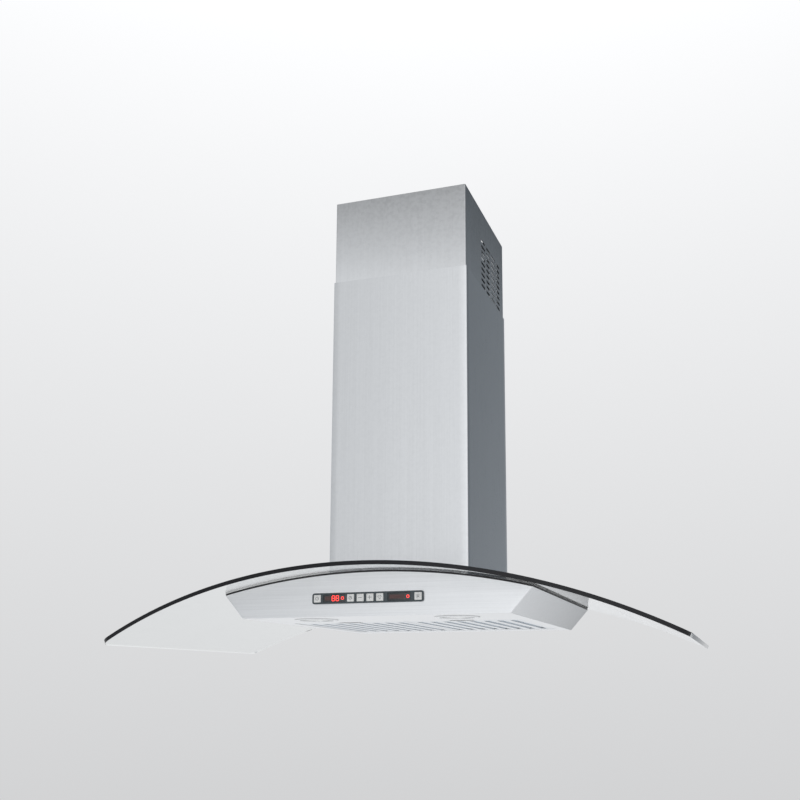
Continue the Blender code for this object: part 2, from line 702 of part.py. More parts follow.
def build_wheel():
    """The squirrel-cage wheel, its shaft, the motor inside it and the motor's bracket."""
    axis = (0, 0, WHEEL_HEIGHT)
    end = WHEEL_WIDTH / 2
    web = BLADE_THICKNESS / 2
    hub_front = HUB_LENGTH - HUB_BEHIND_WEB
    bore = SHAFT_RADIUS + TOUCH
    profile = [(WHEEL_RADIUS, end), (WHEEL_RADIUS, -end), (WHEEL_BORE, -end), (WHEEL_BORE, -web),
               (HUB_RADIUS, -web), (HUB_RADIUS, -HUB_BEHIND_WEB), (bore, -HUB_BEHIND_WEB),
               (bore, hub_front), (HUB_RADIUS, hub_front), (HUB_RADIUS, web), (WHEEL_BORE, web),
               (WHEEL_BORE, end)]
    wheel = turned("impeller", profile, axis, HOOD, "black_plastic", axis="X",
                   steps=WHEEL_BLADES)
    rim = 2 * BLADE_THICKNESS
    bm = bmesh.new()
    depth = WHEEL_RADIUS - WHEEL_BORE + OVERCUT / 2
    slot_width = 2 * math.pi * WHEEL_BORE / WHEEL_BLADES - BLADE_THICKNESS
    for index in range(WHEEL_BLADES):
        turn = Matrix.Rotation(2 * math.pi * (index + 0.5) / WHEEL_BLADES, 4, "X")
        for half in (-1, 1):
            length = end - rim - web - BLADE_THICKNESS
            middle = half * (web + BLADE_THICKNESS + length / 2)
            out = (WHEEL_RADIUS + WHEEL_BORE) / 2
            place = turn @ Matrix.Translation((middle, 0, out))
            size = Matrix.Diagonal((length, slot_width, depth, 1.0))
            bmesh.ops.create_cube(bm, size=1.0, matrix=place @ size)
    cut(wheel, add_object("cut_wheel_slots", mesh_from(bm, "cut_wheel_slots"), axis, HOOD))
    inner = -web - HUB_BEHIND_WEB - 2 * TOUCH
    back = inner - MOTOR_LENGTH
    socket_end = inner - MOTOR_SOCKET
    shoulder = MOTOR_RADIUS - MOTOR_CHAMFER
    motor_profile = [(0, socket_end), (bore, socket_end), (bore, inner), (shoulder, inner),
                     (MOTOR_RADIUS, inner - MOTOR_CHAMFER), (MOTOR_RADIUS, back + MOTOR_CHAMFER),
                     (shoulder, back), (0, back)]
    turned("motor", motor_profile, axis, HOOD, "motor", axis="X", steps=36)
    shaft_start = socket_end + TOUCH
    rod("motor_shaft", SHAFT_RADIUS, (shaft_start, 0, WHEEL_HEIGHT),
        hub_front + SHAFT_PAST_HUB - shaft_start, "X", HOOD, "brushed", segments=20)
    foot = SCROLL_WIDTH / 2 + SCROLL_WALL + TOUCH
    bar_near = -back + TOUCH
    bar_far = bar_near + SCROLL_WALL
    reach = INLET_RADIUS + BRACKET_PAST_INLET
    low, high = WHEEL_HEIGHT - BRACKET_HALF_WIDTH, WHEEL_HEIGHT + BRACKET_HALF_WIDTH
    bar = block("motor_bracket", (-bar_far, -reach, low), (-bar_near, reach, high), HOOD, "zinc")
    for end_name, along in ENDS.items():
        near, far = sorted((along * reach, along * (reach - BRACKET_LEG)))
        leg = block(f"join_bracket_{end_name}", (-bar_far, near, low), (-foot, far, high), HOOD)
        join(bar, leg)


def build_outlet():
    """The duct collar with its two one-way flaps on a shared pin."""
    bottom = BOX_TOP + TOUCH
    flange_top = bottom + COLLAR_SHEET
    reach = COLLAR_RADIUS + COLLAR_FLANGE
    collar = block("outlet_collar", (-reach, -reach, bottom),
                   (reach, SCROLL_END + COLLAR_SHEET, flange_top), HOOD, "zinc", COVER_EDGE)
    outer = rod("join_collar_tube", COLLAR_RADIUS, (0, 0, bottom), COLLAR_TOP - bottom, "Z",
                HOOD, segments=64)
    inner = COLLAR_RADIUS - COLLAR_SHEET
    ledge = FLAP_HEIGHT - FLAP_KNUCKLE_RADIUS - COLLAR_SHEET
    upper = rod("cut_collar_upper", inner, (0, 0, ledge), COLLAR_TOP, "Z", HOOD, segments=64)
    lower = rod("cut_collar_lower", inner - FLAP_CLEARANCE * 2, (0, 0, 0), COLLAR_TOP, "Z",
                HOOD, segments=64)
    pin_hole = rod("cut_pin_hole", FLAP_PIN_RADIUS + TOUCH, (-BODY_WIDTH / 4, 0, FLAP_HEIGHT),
                   BODY_WIDTH / 2, "X", HOOD, segments=16)
    join(collar, outer)
    cut(collar, upper, lower, pin_hole)
    rod("damper_pin", FLAP_PIN_RADIUS, (-COLLAR_RADIUS, 0, FLAP_HEIGHT), 2 * COLLAR_RADIUS, "X",
        HOOD, "brushed", segments=16)
    for end, along in ENDS.items():
        build_flap(end, along, inner - FLAP_CLEARANCE)


def build_flap(end, along, radius):
    """One half-round flap; its knuckles share the pin with the other flap's."""
    axis = Vector((0, 0, FLAP_HEIGHT))
    name = f"damper_flap_{end}"
    flap = rod(name, radius, axis - Vector((0, 0, FLAP_SHEET / 2)), FLAP_SHEET, "Z", HOOD,
               "zinc", segments=64)
    clear = FLAP_KNUCKLE_RADIUS + 2 * TOUCH
    near, far = sorted((along * clear, -along * 2 * radius))
    cut(flap, block(f"cut_{name}", (-2 * radius, near, FLAP_HEIGHT - clear),
                    (2 * radius, far, FLAP_HEIGHT + clear), HOOD))
    first = 0 if along < 0 else 1
    for index in range(first, 4, 2):
        start = (index - 2) * FLAP_KNUCKLE + TOUCH
        length = FLAP_KNUCKLE - 2 * TOUCH
        barrel = rod(f"join_{name}_{index}", FLAP_KNUCKLE_RADIUS, (start, 0, FLAP_HEIGHT),
                     length, "X", HOOD, segments=20)
        near, far = sorted((0.0, along * (clear + FLAP_SHEET)))
        web = block(f"join_{name}_web_{index}", (start, near, FLAP_HEIGHT - FLAP_SHEET / 2),
                    (start + length, far, FLAP_HEIGHT + FLAP_SHEET / 2), HOOD)
        join(flap, barrel, web)
    cut(flap, rod(f"cut_{name}_bore", FLAP_PIN_RADIUS + TOUCH, (-2 * radius, 0, FLAP_HEIGHT),
                  4 * radius, "X", HOOD, segments=16))
    origin_to(flap, axis)


def build_electrics():
    """What sits on the blower box beside the collar, and the lamp supply in the body."""
    shelf = BOX_TOP + TOUCH
    front = -BOX_HALF[1] + SHELF_MARGIN
    back = front + TERMINAL_DEPTH
    middle = (front + back) / 2
    terminal_top = shelf + TERMINAL_HEIGHT
    block("terminal_box", (TERMINAL_X[0], front, shelf), (TERMINAL_X[1], back, terminal_top),
          HOOD, "black_plastic", corner=CASE_CORNER)
    dome, nut, flange = GLAND_RADII
    flange_top, nut_top, top = GLAND_HEIGHTS
    profile = [(GLAND_BORE, top), (dome, top), (nut, nut_top), (nut, flange_top),
               (flange, flange_top), (flange, 0.0), (GLAND_BORE, 0.0)]
    turned("cable_gland", profile, (GLAND_X, middle, terminal_top + TOUCH), HOOD,
           "white_plastic", steps=24)
    rod("capacitor", CAPACITOR_RADIUS, (CAPACITOR_X, middle, shelf), CAPACITOR_HEIGHT, "Z", HOOD,
        "white_plastic", segments=24)
    block("lamp_transformer", (-SUPPLY_HALF[0], LAMP_Y - SUPPLY_HALF[1], PANEL_SHEET + TOUCH),
          (SUPPLY_HALF[0], LAMP_Y + SUPPLY_HALF[1], SUPPLY_TOP), HOOD, "white_plastic",
          corner=CASE_CORNER)


# ---- controls ------------------------------------------------------------------------
def button_places():
    """The six buttons' middles along the strip, from left to right."""
    middle = [MIDDLE_BUTTONS_X + (index - 1.5) * BUTTON_PITCH for index in range(4)]
    return [-END_BUTTON_X, *middle, END_BUTTON_X]


def strip_block(name, x, width, height, front, back, look=None, centre=STRIP_CENTRE):
    """A block in the control strip, given by its middle, its size and its depths in Y."""
    return block(name, (PANEL_X + x - width / 2, front, centre - height / 2),
                 (PANEL_X + x + width / 2, back, centre + height / 2), HOOD, look)


def build_controls():
    """The strip with its windows, displays and buttons, and the tray and board behind it."""
    strip = strip_block("control_strip", 0, STRIP_WIDTH, STRIP_HEIGHT, STRIP_FRONT, STRIP_BACK,
                        "strip")
    plug_w = STRIP_WIDTH - 2 * STRIP_LAP - 2 * TOUCH
    plug_h = STRIP_HEIGHT - 2 * STRIP_LAP - 2 * TOUCH
    keep = FRONT - TOUCH
    shoulder = strip_block("cut_strip_shoulder", 0, 2 * STRIP_WIDTH, 2 * STRIP_HEIGHT, keep,
                           STRIP_BACK + OVERCUT)
    plug = strip_block("cut_strip_plug", 0, plug_w, plug_h, keep - OVERCUT, STRIP_BACK + 2 * OVERCUT)
    cut(strip, cut(shoulder, plug))
    hole = BUTTON + 2 * BUTTON_GAP
    for index, x in enumerate(button_places(), start=1):
        cut(strip, strip_block(f"cut_button_{index}", x, hole, hole, STRIP_FRONT - OVERCUT,
                               STRIP_BACK + OVERCUT))
        build_button(index, x)
    lens_back = STRIP_FRONT + LENS_DEPTH
    board_front = STRIP_BACK + BOARD_BEHIND_STRIP
    for index, x in enumerate(WINDOW_X, start=1):
        cut(strip, strip_block(f"cut_window_{index}", x, WINDOW_WIDTH, WINDOW_HEIGHT,
                               STRIP_FRONT - OVERCUT, STRIP_BACK + OVERCUT))
        strip_block(f"display_lens_{index}", x, WINDOW_WIDTH - 2 * TOUCH,
                    WINDOW_HEIGHT - 2 * TOUCH, STRIP_FRONT, lens_back, "display")
        strip_block(f"display_module_{index}", x, WINDOW_WIDTH - 4 * TOUCH,
                    WINDOW_HEIGHT - 4 * TOUCH, lens_back + TOUCH, board_front - TOUCH,
                    "black_plastic")
    strip_block("control_board", 0, STRIP_WIDTH, STRIP_HEIGHT, board_front,
                board_front + BOARD_SHEET, "board")
    tray_front = FRONT + BODY_SHEET + TOUCH
    tray_back = board_front + BOARD_SHEET + TOUCH + TRAY_WALL
    tray_w = STRIP_WIDTH + TRAY_MARGIN
    tray_h = STRIP_HEIGHT + TRAY_MARGIN
    tray = strip_block("control_tray", 0, tray_w, tray_h, tray_front, tray_back, "black_plastic")
    cut(tray, strip_block("cut_tray", 0, tray_w - 2 * TRAY_WALL, tray_h - 2 * TRAY_WALL,
                          tray_front - OVERCUT, tray_back - TRAY_WALL))


def build_button(index, x):
    """One button: a square cap, a flange that holds it behind the strip, and a stem."""
    front = STRIP_FRONT - BUTTON_PROUD
    flange_front = STRIP_BACK + TOUCH
    flange_back = flange_front + BUTTON_FLANGE_SHEET
    stem_back = STRIP_BACK + BOARD_BEHIND_STRIP - TOUCH - BUTTON_TRAVEL
    cap = strip_block(f"button_{index}", x, BUTTON, BUTTON, front, flange_back, "button")
    flange = strip_block(f"join_button_{index}", x, BUTTON_FLANGE, BUTTON_FLANGE, flange_front,
                         flange_back)
    stem = strip_block(f"join_stem_{index}", x, STEM, STEM, flange_front, stem_back)
    join(cap, flange, stem)


# ---- lamps ---------------------------------------------------------------------------
def build_lamps():
    """Two recessed lamps: a ring in the panel, a lens on its ledge and a can above."""
    inner = LAMP_SLEEVE - LAMP_WALL
    ring = [(LAMP_SLEEVE, LAMP_SLEEVE_TOP), (LAMP_SLEEVE, -TOUCH), (LAMP_RADIUS, -TOUCH),
            (LAMP_RADIUS - TOUCH, -LAMP_LIP), (LAMP_RADIUS - LAMP_CHAMFER, -LAMP_PROUD),
            (LAMP_OPENING + LAMP_LIP, -LAMP_PROUD), (LAMP_OPENING, LAMP_LIP - LAMP_PROUD),
            (LAMP_OPENING, 0.0), (inner, 0.0), (inner, LAMP_SLEEVE_TOP)]
    can_bottom = LAMP_SLEEVE_TOP + TOUCH
    can = [(0, LAMP_CAN_TOP), (LAMP_SLEEVE - LAMP_CHAMFER, LAMP_CAN_TOP),
           (LAMP_SLEEVE, LAMP_CAN_TOP - LAMP_CHAMFER), (LAMP_SLEEVE, can_bottom),
           (inner, can_bottom), (inner, LAMP_CAN_TOP - 2 * LAMP_WALL),
           (0, LAMP_CAN_TOP - LAMP_WALL)]
    for side, across in SIDES.items():
        place = (across * LAMP_X, LAMP_Y, 0)
        turned(f"lamp_ring_{side}", ring, place, HOOD, "brushed", steps=36)
        turned(f"lamp_can_{side}", can, place, HOOD, "zinc", steps=32)
        rod(f"lamp_lens_{side}", inner - 2 * TOUCH, (place[0], place[1], TOUCH), LENS_THICKNESS,
            "Z", HOOD, "lens", segments=48)


# ---- grease filters ------------------------------------------------------------------
def build_filter(side, across):
    """A baffle filter that swings down from its back edge, with its sliding latch."""
    middle = across * (FILTER_WIDTH + FILTER_GAP) / 2
    low = Vector((middle - FILTER_WIDTH / 2, FILTER_FRONT_Y, FILTER_BOTTOM))
    high = Vector((middle + FILTER_WIDTH / 2, FILTER_BACK_Y, FILTER_TOP))
    wall = Vector((FILTER_SHEET, FILTER_SHEET, FILTER_SHEET))
    name = f"filter_{side}"
    body = block(name, low, high, HOOD, "filter")
    cut(body, block(f"cut_{name}_inside", low + wall, high - wall, HOOD))
    slots = []
    slot_front = FILTER_FRONT_Y + BAFFLE_FRONT
    slot_back = FILTER_BACK_Y - BAFFLE_BACK
    for index in range(BAFFLE_COUNT):
        x = middle + (index - (BAFFLE_COUNT - 1) / 2) * BAFFLE_PITCH
        slots.append(((x - BAFFLE_SLOT / 2, slot_front, FILTER_BOTTOM - OVERCUT),
                      (x + BAFFLE_SLOT / 2, slot_back, FILTER_BOTTOM + 2 * FILTER_SHEET)))
        if index < BAFFLE_COUNT - 1:
            x += BAFFLE_PITCH / 2
            slots.append(((x - BAFFLE_SLOT / 2, slot_front, FILTER_TOP - 2 * FILTER_SHEET),
                          (x + BAFFLE_SLOT / 2, slot_back, FILTER_TOP + OVERCUT)))
    cut(body, many_blocks(f"cut_{name}_slots", slots, HOOD))
    hinge_y = FILTER_BACK_Y - HINGE_FROM_BACK
    hinge_z = FILTER_BOTTOM + HINGE_UP
    for tab_side, direction in SIDES.items():
        x = middle + direction * FILTER_WIDTH / 3
        join(body, block(f"join_{name}_tab_{tab_side}",
                         (x - TAB_WIDTH / 2, hinge_y, hinge_z),
                         (x + TAB_WIDTH / 2, FILTER_BACK_Y + TAB_REACH, hinge_z + TAB_THICKNESS),
                         HOOD))
    latch_front = FILTER_FRONT_Y + LATCH_FROM_FRONT
    latch_back = latch_front + LATCH_DEPTH
    floor = FILTER_BOTTOM + FILTER_SHEET
    play = 2 * TOUCH
    cut(body, block(f"cut_{name}_latch",
                    (middle - LATCH_WIDTH / 2 - play, latch_front - play, -OVERCUT),
                    (middle + LATCH_WIDTH / 2 + play, latch_back + LATCH_TRAVEL + play, floor + play),
                    HOOD),
        block(f"cut_{name}_tongue",
              (middle - TONGUE_WIDTH / 2 - play, FILTER_FRONT_Y - OVERCUT, floor),
              (middle + TONGUE_WIDTH / 2 + play, FILTER_FRONT_Y + 2 * FILTER_SHEET,
               floor + LATCH_SHEET + 2 * play), HOOD))
    origin_to(body, (middle, hinge_y, hinge_z))
    build_latch(side, middle, latch_front, latch_back, floor)


def build_latch(side, middle, front, back, floor):
    """The filter's latch: a finger plate, the slide that carries it and its tongue."""
    name = f"filter_latch_{side}"
    slide_low = floor + TOUCH
    plate = block(name, (middle - LATCH_WIDTH / 2, front, FILTER_BOTTOM + TOUCH),
                  (middle + LATCH_WIDTH / 2, back, slide_low + LATCH_SHEET), HOOD, "black_plastic")
    wide = LATCH_WIDTH / 2 + LATCH_SIDE
    slide = block(f"join_{name}_slide", (middle - wide, front - FILTER_SHEET, slide_low),
                  (middle + wide, back + FILTER_SHEET, slide_low + LATCH_SHEET), HOOD)
    tongue = block(f"join_{name}_tongue",
                   (middle - TONGUE_WIDTH / 2, FILTER_FRONT_Y - FILTER_SHEET, slide_low),
                   (middle + TONGUE_WIDTH / 2, front, slide_low + LATCH_SHEET), HOOD)
    join(plate, slide, tongue)
    return plate


# ---- the whole hood ------------------------------------------------------------------
def build_hood():
    """Every piece, from the ceiling down."""
    build_ceiling_plate()
    post_top = -PLATE_SHEET - TOUCH
    build_posts("upper_post", UPPER_POST_HALF, UPPER_POST_SHEET,
                LOWER_POST_TOP - POST_OVERLAP - HANG, post_top, CEILING)
    build_upper_chimney()
    build_lower_chimney()
    build_posts("lower_post", LOWER_POST_HALF, LOWER_POST_SHEET, BASE_TOP + TOUCH,
                LOWER_POST_TOP, HOOD)
    build_glass()
    build_body_shell()
    build_underside_panel()
    build_chassis()
    build_blower_casing()
    build_wheel()
    build_outlet()
    build_electrics()
    build_controls()
    build_lamps()
    for side, across in SIDES.items():
        build_filter(side, across)


build_hood()
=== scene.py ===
"""Island range hood: its finishes, fine shapes and studio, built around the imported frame.

The frame gives every piece its place and size.  Each sub-assembly is a class that builds
its pieces and dresses them, each finish is a frozen dataclass, and main() runs them in
order.
"""
import json
import logging
import math
from dataclasses import dataclass, field
from enum import Enum
from typing import Callable, Iterable, Sequence

import bmesh
import bpy
from mathutils import Matrix, Vector

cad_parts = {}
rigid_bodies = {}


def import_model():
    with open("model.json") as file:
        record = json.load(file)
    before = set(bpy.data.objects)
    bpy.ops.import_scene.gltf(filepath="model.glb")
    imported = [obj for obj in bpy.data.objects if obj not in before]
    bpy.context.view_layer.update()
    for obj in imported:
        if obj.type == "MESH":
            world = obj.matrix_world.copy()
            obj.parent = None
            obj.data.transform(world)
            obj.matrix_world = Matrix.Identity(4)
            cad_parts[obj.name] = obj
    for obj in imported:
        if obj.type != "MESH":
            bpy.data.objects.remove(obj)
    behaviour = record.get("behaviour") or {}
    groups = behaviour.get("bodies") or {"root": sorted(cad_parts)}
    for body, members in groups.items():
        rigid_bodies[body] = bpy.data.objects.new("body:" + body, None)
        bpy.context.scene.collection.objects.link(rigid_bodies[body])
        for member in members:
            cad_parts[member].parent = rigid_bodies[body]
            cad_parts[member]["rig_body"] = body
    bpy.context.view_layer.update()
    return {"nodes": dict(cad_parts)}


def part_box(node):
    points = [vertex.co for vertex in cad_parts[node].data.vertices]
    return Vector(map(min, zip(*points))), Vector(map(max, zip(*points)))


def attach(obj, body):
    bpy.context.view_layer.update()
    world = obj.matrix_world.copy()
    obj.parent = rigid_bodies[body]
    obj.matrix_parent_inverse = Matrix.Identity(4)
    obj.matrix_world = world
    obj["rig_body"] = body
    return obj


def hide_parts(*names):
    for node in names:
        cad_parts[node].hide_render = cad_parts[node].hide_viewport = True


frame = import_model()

LOG = logging.getLogger("range_hood")

Colour = tuple[float, float, float]
Point = tuple[float, float, float]
Pair = tuple[float, float]
Outline = Sequence[Pair]
Piece = bpy.types.Object
Node = bpy.types.Node
Socket = bpy.types.NodeSocket

MM = 0.001
HAIR = 0.00015            # how far a printed mark or a lit segment stands off its surface
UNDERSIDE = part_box("body_shell")[0].z
OWN = "finish_"           # starts every finish's name, which the frame's own materials never do
SIDES = {"left": -1, "right": 1}
ENDS = {"front": -1, "rear": 1}
UP: Point = (0.0, 0.0, 1.0)
DOWN: Point = (0.0, 0.0, -1.0)
FORWARD: Point = (0.0, -1.0, 0.0)
BACKWARD: Point = (0.0, 1.0, 0.0)


# ---- node graphs -------------------------------------------------
class Graph:
    """A short hand for making, setting and linking the nodes of one tree."""

    def __init__(self, tree: bpy.types.NodeTree) -> None:
        """Keeps the tree that the calls below add to."""
        self.tree = tree

    def node(self, kind: str, inputs: dict | None = None, **settings: object) -> Node:
        """Adds a node.

        Args:
            kind: the node's type name.
            inputs: values or sockets by input name or number; a socket is linked.
            settings: the node's own properties.

        Returns:
            The node.
        """
        made = self.tree.nodes.new(kind)
        for name, value in settings.items():
            setattr(made, name, value)
        for key, value in (inputs or {}).items():
            self.feed(made.inputs[key], value)
        return made

    def feed(self, socket: Socket, value: object) -> None:
        """Links the socket to another socket, or sets its value."""
        if isinstance(value, Socket):
            self.tree.links.new(value, socket)
        else:
            socket.default_value = value

    def maths(self, operation: str, first: object, second: object = 0.0,
              clamp: bool = False) -> Socket:
        """A Math node.

        Args:
            operation: the node's operation.
            first: a value or a socket.
            second: a value or a socket.
            clamp: holds the result between 0 and 1.

        Returns:
            The node's output.
        """
        made = self.node("ShaderNodeMath", {0: first, 1: second}, operation=operation,
                         use_clamp=clamp)
        return made.outputs[0]

    def vector(self, operation: str, first: object, second: object) -> Socket:
        """A Vector Math node's vector output."""
        made = self.node("ShaderNodeVectorMath", {0: first, 1: second}, operation=operation)
        return made.outputs[0]

    def blend(self, factor: object, first: object, second: object, way: str = "MIX") -> Socket:
        """Mixes two colours.

        Args:
            factor: how much of the second colour, a value or a socket.
            first: a colour or a socket.
            second: a colour or a socket.
            way: the Mix node's blend type.

        Returns:
            The mixed colour.
        """
        made = self.node("ShaderNodeMix", data_type="RGBA", blend_type=way)
        self.feed(made.inputs["Factor"], factor)
        self.feed(made.inputs[6], as_rgba(first))
        self.feed(made.inputs[7], as_rgba(second))
        return made.outputs[2]

    def remap(self, value: object, low: float, high: float, new_low: float, new_high: float,
              smooth: bool = False) -> Socket:
        """Maps a value from one range to another, clamped.

        Args:
            value: a value or a socket.
            low: start of the range that is read.
            high: end of the range that is read.
            new_low: what low becomes.
            new_high: what high becomes.
            smooth: eases in and out.

        Returns:
            The mapped value.
        """
        way = "SMOOTHSTEP" if smooth else "LINEAR"
        made = self.node("ShaderNodeMapRange", {0: value, 1: low, 2: high, 3: new_low,
                                                4: new_high}, interpolation_type=way, clamp=True)
        return made.outputs[0]

    def scaled(self, vector: object, factor: object) -> Socket:
        """A vector or a colour times a value."""
        made = self.node("ShaderNodeVectorMath", {0: vector, "Scale": factor}, operation="SCALE")
        return made.outputs[0]

    def dot(self, first: object, second: object) -> Socket:
        """The dot product of two vectors."""
        made = self.node("ShaderNodeVectorMath", {0: first, 1: second}, operation="DOT_PRODUCT")
        return made.outputs["Value"]

    def noise(self, place: object, scale: object, detail: float = 2.0, rough: float = 0.5,
              warp: float = 0.0) -> Socket:
        """Noise between 0 and 1.

        Args:
            place: the coordinates that it reads.
            scale: how closely it is packed, a value or a socket.
            detail: how many finer layers it has.
            rough: how strong the finer layers are.
            warp: how much it is bent out of shape.

        Returns:
            The noise.
        """
        made = self.node("ShaderNodeTexNoise", {"Vector": place, "Scale": scale,
                                                "Detail": detail, "Roughness": rough,
                                                "Distortion": warp})
        return made.outputs[0]

    def relief(self, shader: Node, height: object, strength: float, depth: float) -> None:
        """Gives a shader fine relief.

        Args:
            shader: the shader whose normal is set.
            height: the socket that carries the relief.
            strength: how strong it is.
            depth: how deep it is, in metres.
        """
        bump = self.node("ShaderNodeBump", {"Strength": strength, "Distance": depth,
                                            "Height": height})
        self.feed(shader.inputs["Normal"], bump.outputs[0])

    def parts(self, vector: object) -> tuple[Socket, ...]:
        """The x, y and z of a vector."""
        return tuple(self.node("ShaderNodeSeparateXYZ", {0: vector}).outputs)


def as_rgba(value: object) -> object:
    """Adds an alpha to a plain colour, and leaves a socket as it is."""
    if isinstance(value, Socket):
        return value
    return (*value, 1.0) if len(value) == 3 else value


@dataclass(frozen=True)
class Effect:
    """A shader effect kept in a node group, built once and placed in many materials."""

    name: str
    inputs: tuple[tuple[str, str, object], ...]
    outputs: tuple[tuple[str, str], ...]
    build: Callable[["Graph", Node, Node], None]

    def group(self) -> bpy.types.NodeTree:
        """The node group, made the first time it is asked for."""
        if self.name in bpy.data.node_groups:
            return bpy.data.node_groups[self.name]
        tree = bpy.data.node_groups.new(self.name, "ShaderNodeTree")
        for name, kind, value in self.inputs:
            socket = tree.interface.new_socket(name=name, in_out="INPUT", socket_type=kind)
            if value is not None:
                socket.default_value = value
        for name, kind in self.outputs:
            tree.interface.new_socket(name=name, in_out="OUTPUT", socket_type=kind)
        graph = Graph(tree)
        self.build(graph, graph.node("NodeGroupInput"), graph.node("NodeGroupOutput"))
        return tree

    def place(self, graph: Graph, **values: object) -> Node:
        """Puts the effect into a material.

        Args:
            graph: the material's graph.
            values: the group's inputs, with _ for a space in their names.

        Returns:
            The group node, whose outputs carry the effect's names.
        """
        made = graph.node("ShaderNodeGroup", node_tree=self.group())
        for key, value in values.items():
            graph.feed(made.inputs[key.replace("_", " ")], value)
        return made


def build_grain(graph: Graph, given: Node, result: Node) -> None:
    """Fine brushed lines: noise stretched along one direction, in two widths.

    Args:
        graph: the group's graph.
        given: the group's input node.
        result: the group's output node.
    """
    stretched = graph.vector("MULTIPLY", given.outputs["Vector"], given.outputs["Stretch"])
    lines = graph.remap(graph.noise(stretched, 1.0, 3.0, 0.65), 0.3, 0.7, 0.0, 1.0)
    bands = graph.remap(graph.noise(stretched, 0.11), 0.35, 0.65, 0.0, 1.0)
    graph.feed(result.inputs["Lines"], lines)
    graph.feed(result.inputs["Bands"], bands)


def build_handling(graph: Graph, given: Node, result: Node) -> None:
    """Soft patches where a surface was wiped and handled.

    Args:
        graph: the group's graph.
        given: the group's input node.
        result: the group's output node.
    """
    cloud = graph.noise(given.outputs["Vector"], given.outputs["Scale"], 4.0, 0.6, warp=0.8)
    patch = graph.remap(cloud, 0.45, 0.7, 0.0, 1.0, smooth=True)
    graph.feed(result.inputs["Mask"], patch)


def build_wear(graph: Graph, given: Node, result: Node) -> None:
    """Edges rubbed brighter: the surface's convex corners, broken up by noise.

    Args:
        graph: the group's graph.
        given: the group's input node.
        result: the group's output node.
    """
    geometry = graph.node("ShaderNodeNewGeometry")
    corner = graph.remap(geometry.outputs["Pointiness"], 0.505, 0.56, 0.0, 1.0)
    speck = graph.noise(given.outputs["Vector"], 180.0, 3.0)
    broken = graph.maths("MULTIPLY", corner, graph.remap(speck, 0.3, 0.6, 0.2, 1.0))
    graph.feed(result.inputs["Mask"],
               graph.maths("MULTIPLY", broken, given.outputs["Amount"], clamp=True))


def build_dust(graph: Graph, given: Node, result: Node) -> None:
    """Dust that settles on what faces up.

    Args:
        graph: the group's graph.
        given: the group's input node.
        result: the group's output node.
    """
    geometry = graph.node("ShaderNodeNewGeometry")
    up = graph.parts(geometry.outputs["Normal"])[2]
    flat = graph.remap(up, 0.4, 0.95, 0.0, 1.0, smooth=True)
    speck = graph.noise(given.outputs["Vector"], 45.0, 6.0, 0.7)
    patchy = graph.maths("MULTIPLY", flat, graph.remap(speck, 0.3, 0.75, 0.15, 1.0))
    graph.feed(result.inputs["Mask"],
               graph.maths("MULTIPLY", patchy, given.outputs["Amount"], clamp=True))


GRAIN = Effect("brushed_grain",
               (("Vector", "NodeSocketVector", None), ("Stretch", "NodeSocketVector", None)),
               (("Lines", "NodeSocketFloat"), ("Bands", "NodeSocketFloat")), build_grain)
HANDLING = Effect("handling_patches",
                  (("Vector", "NodeSocketVector", None), ("Scale", "NodeSocketFloat", 6.0)),
                  (("Mask", "NodeSocketFloat"),), build_handling)
WEAR = Effect("edge_wear",
              (("Vector", "NodeSocketVector", None), ("Amount", "NodeSocketFloat", 0.5)),
              (("Mask", "NodeSocketFloat"),), build_wear)
DUST = Effect("settled_dust",
              (("Vector", "NodeSocketVector", None), ("Amount", "NodeSocketFloat", 0.3)),
              (("Mask", "NodeSocketFloat"),), build_dust)


def new_material(name: str) -> tuple[bpy.types.Material, Graph, Node]:
    """A material with its graph and its Principled shader."""
    material = bpy.data.materials.new(OWN + name)
    material.use_nodes = True
    graph = Graph(material.node_tree)
    return material, graph, material.node_tree.nodes["Principled BSDF"]


def place_of(graph: Graph) -> Socket:
    """Object coordinates, in metres."""
    return graph.node("ShaderNodeTexCoord").outputs["Object"]


# ---- finishes ----------------------------------------------------
class Brushing(Enum):
    """Which way a steel surface was brushed, as how much noise is packed along X, Y and Z."""

    UPRIGHT = (2600.0, 2600.0, 9.0)
    ACROSS = (9.0, 2600.0, 2600.0)
    DEEP = (2600.0, 9.0, 2600.0)
    ROLLED = (900.0, 900.0, 900.0)


@dataclass(frozen=True)
class PaintedShade:
    """Painted shade: a slow change of a surface's colour along one direction, standing in for
    light and shade.
    """

    direction: Point
    start: float              # place along the direction where the change starts
    end: float
    far: float                # how light it is at the end, against 1 at the start


class Finish:
    """What every finish can do: give its material, made once under its own name."""

    name: str

    def material(self) -> bpy.types.Material:
        """The finish's material."""
        return bpy.data.materials.get(OWN + self.name) or self.make()

    def make(self) -> bpy.types.Material:
        """Builds the material."""
        raise NotImplementedError


RUBBED: Colour = (0.93, 0.94, 0.95)         # steel worn bright
SETTLED: Colour = (0.42, 0.40, 0.37)        # dust
SOLDER: Colour = (0.55, 0.56, 0.55)


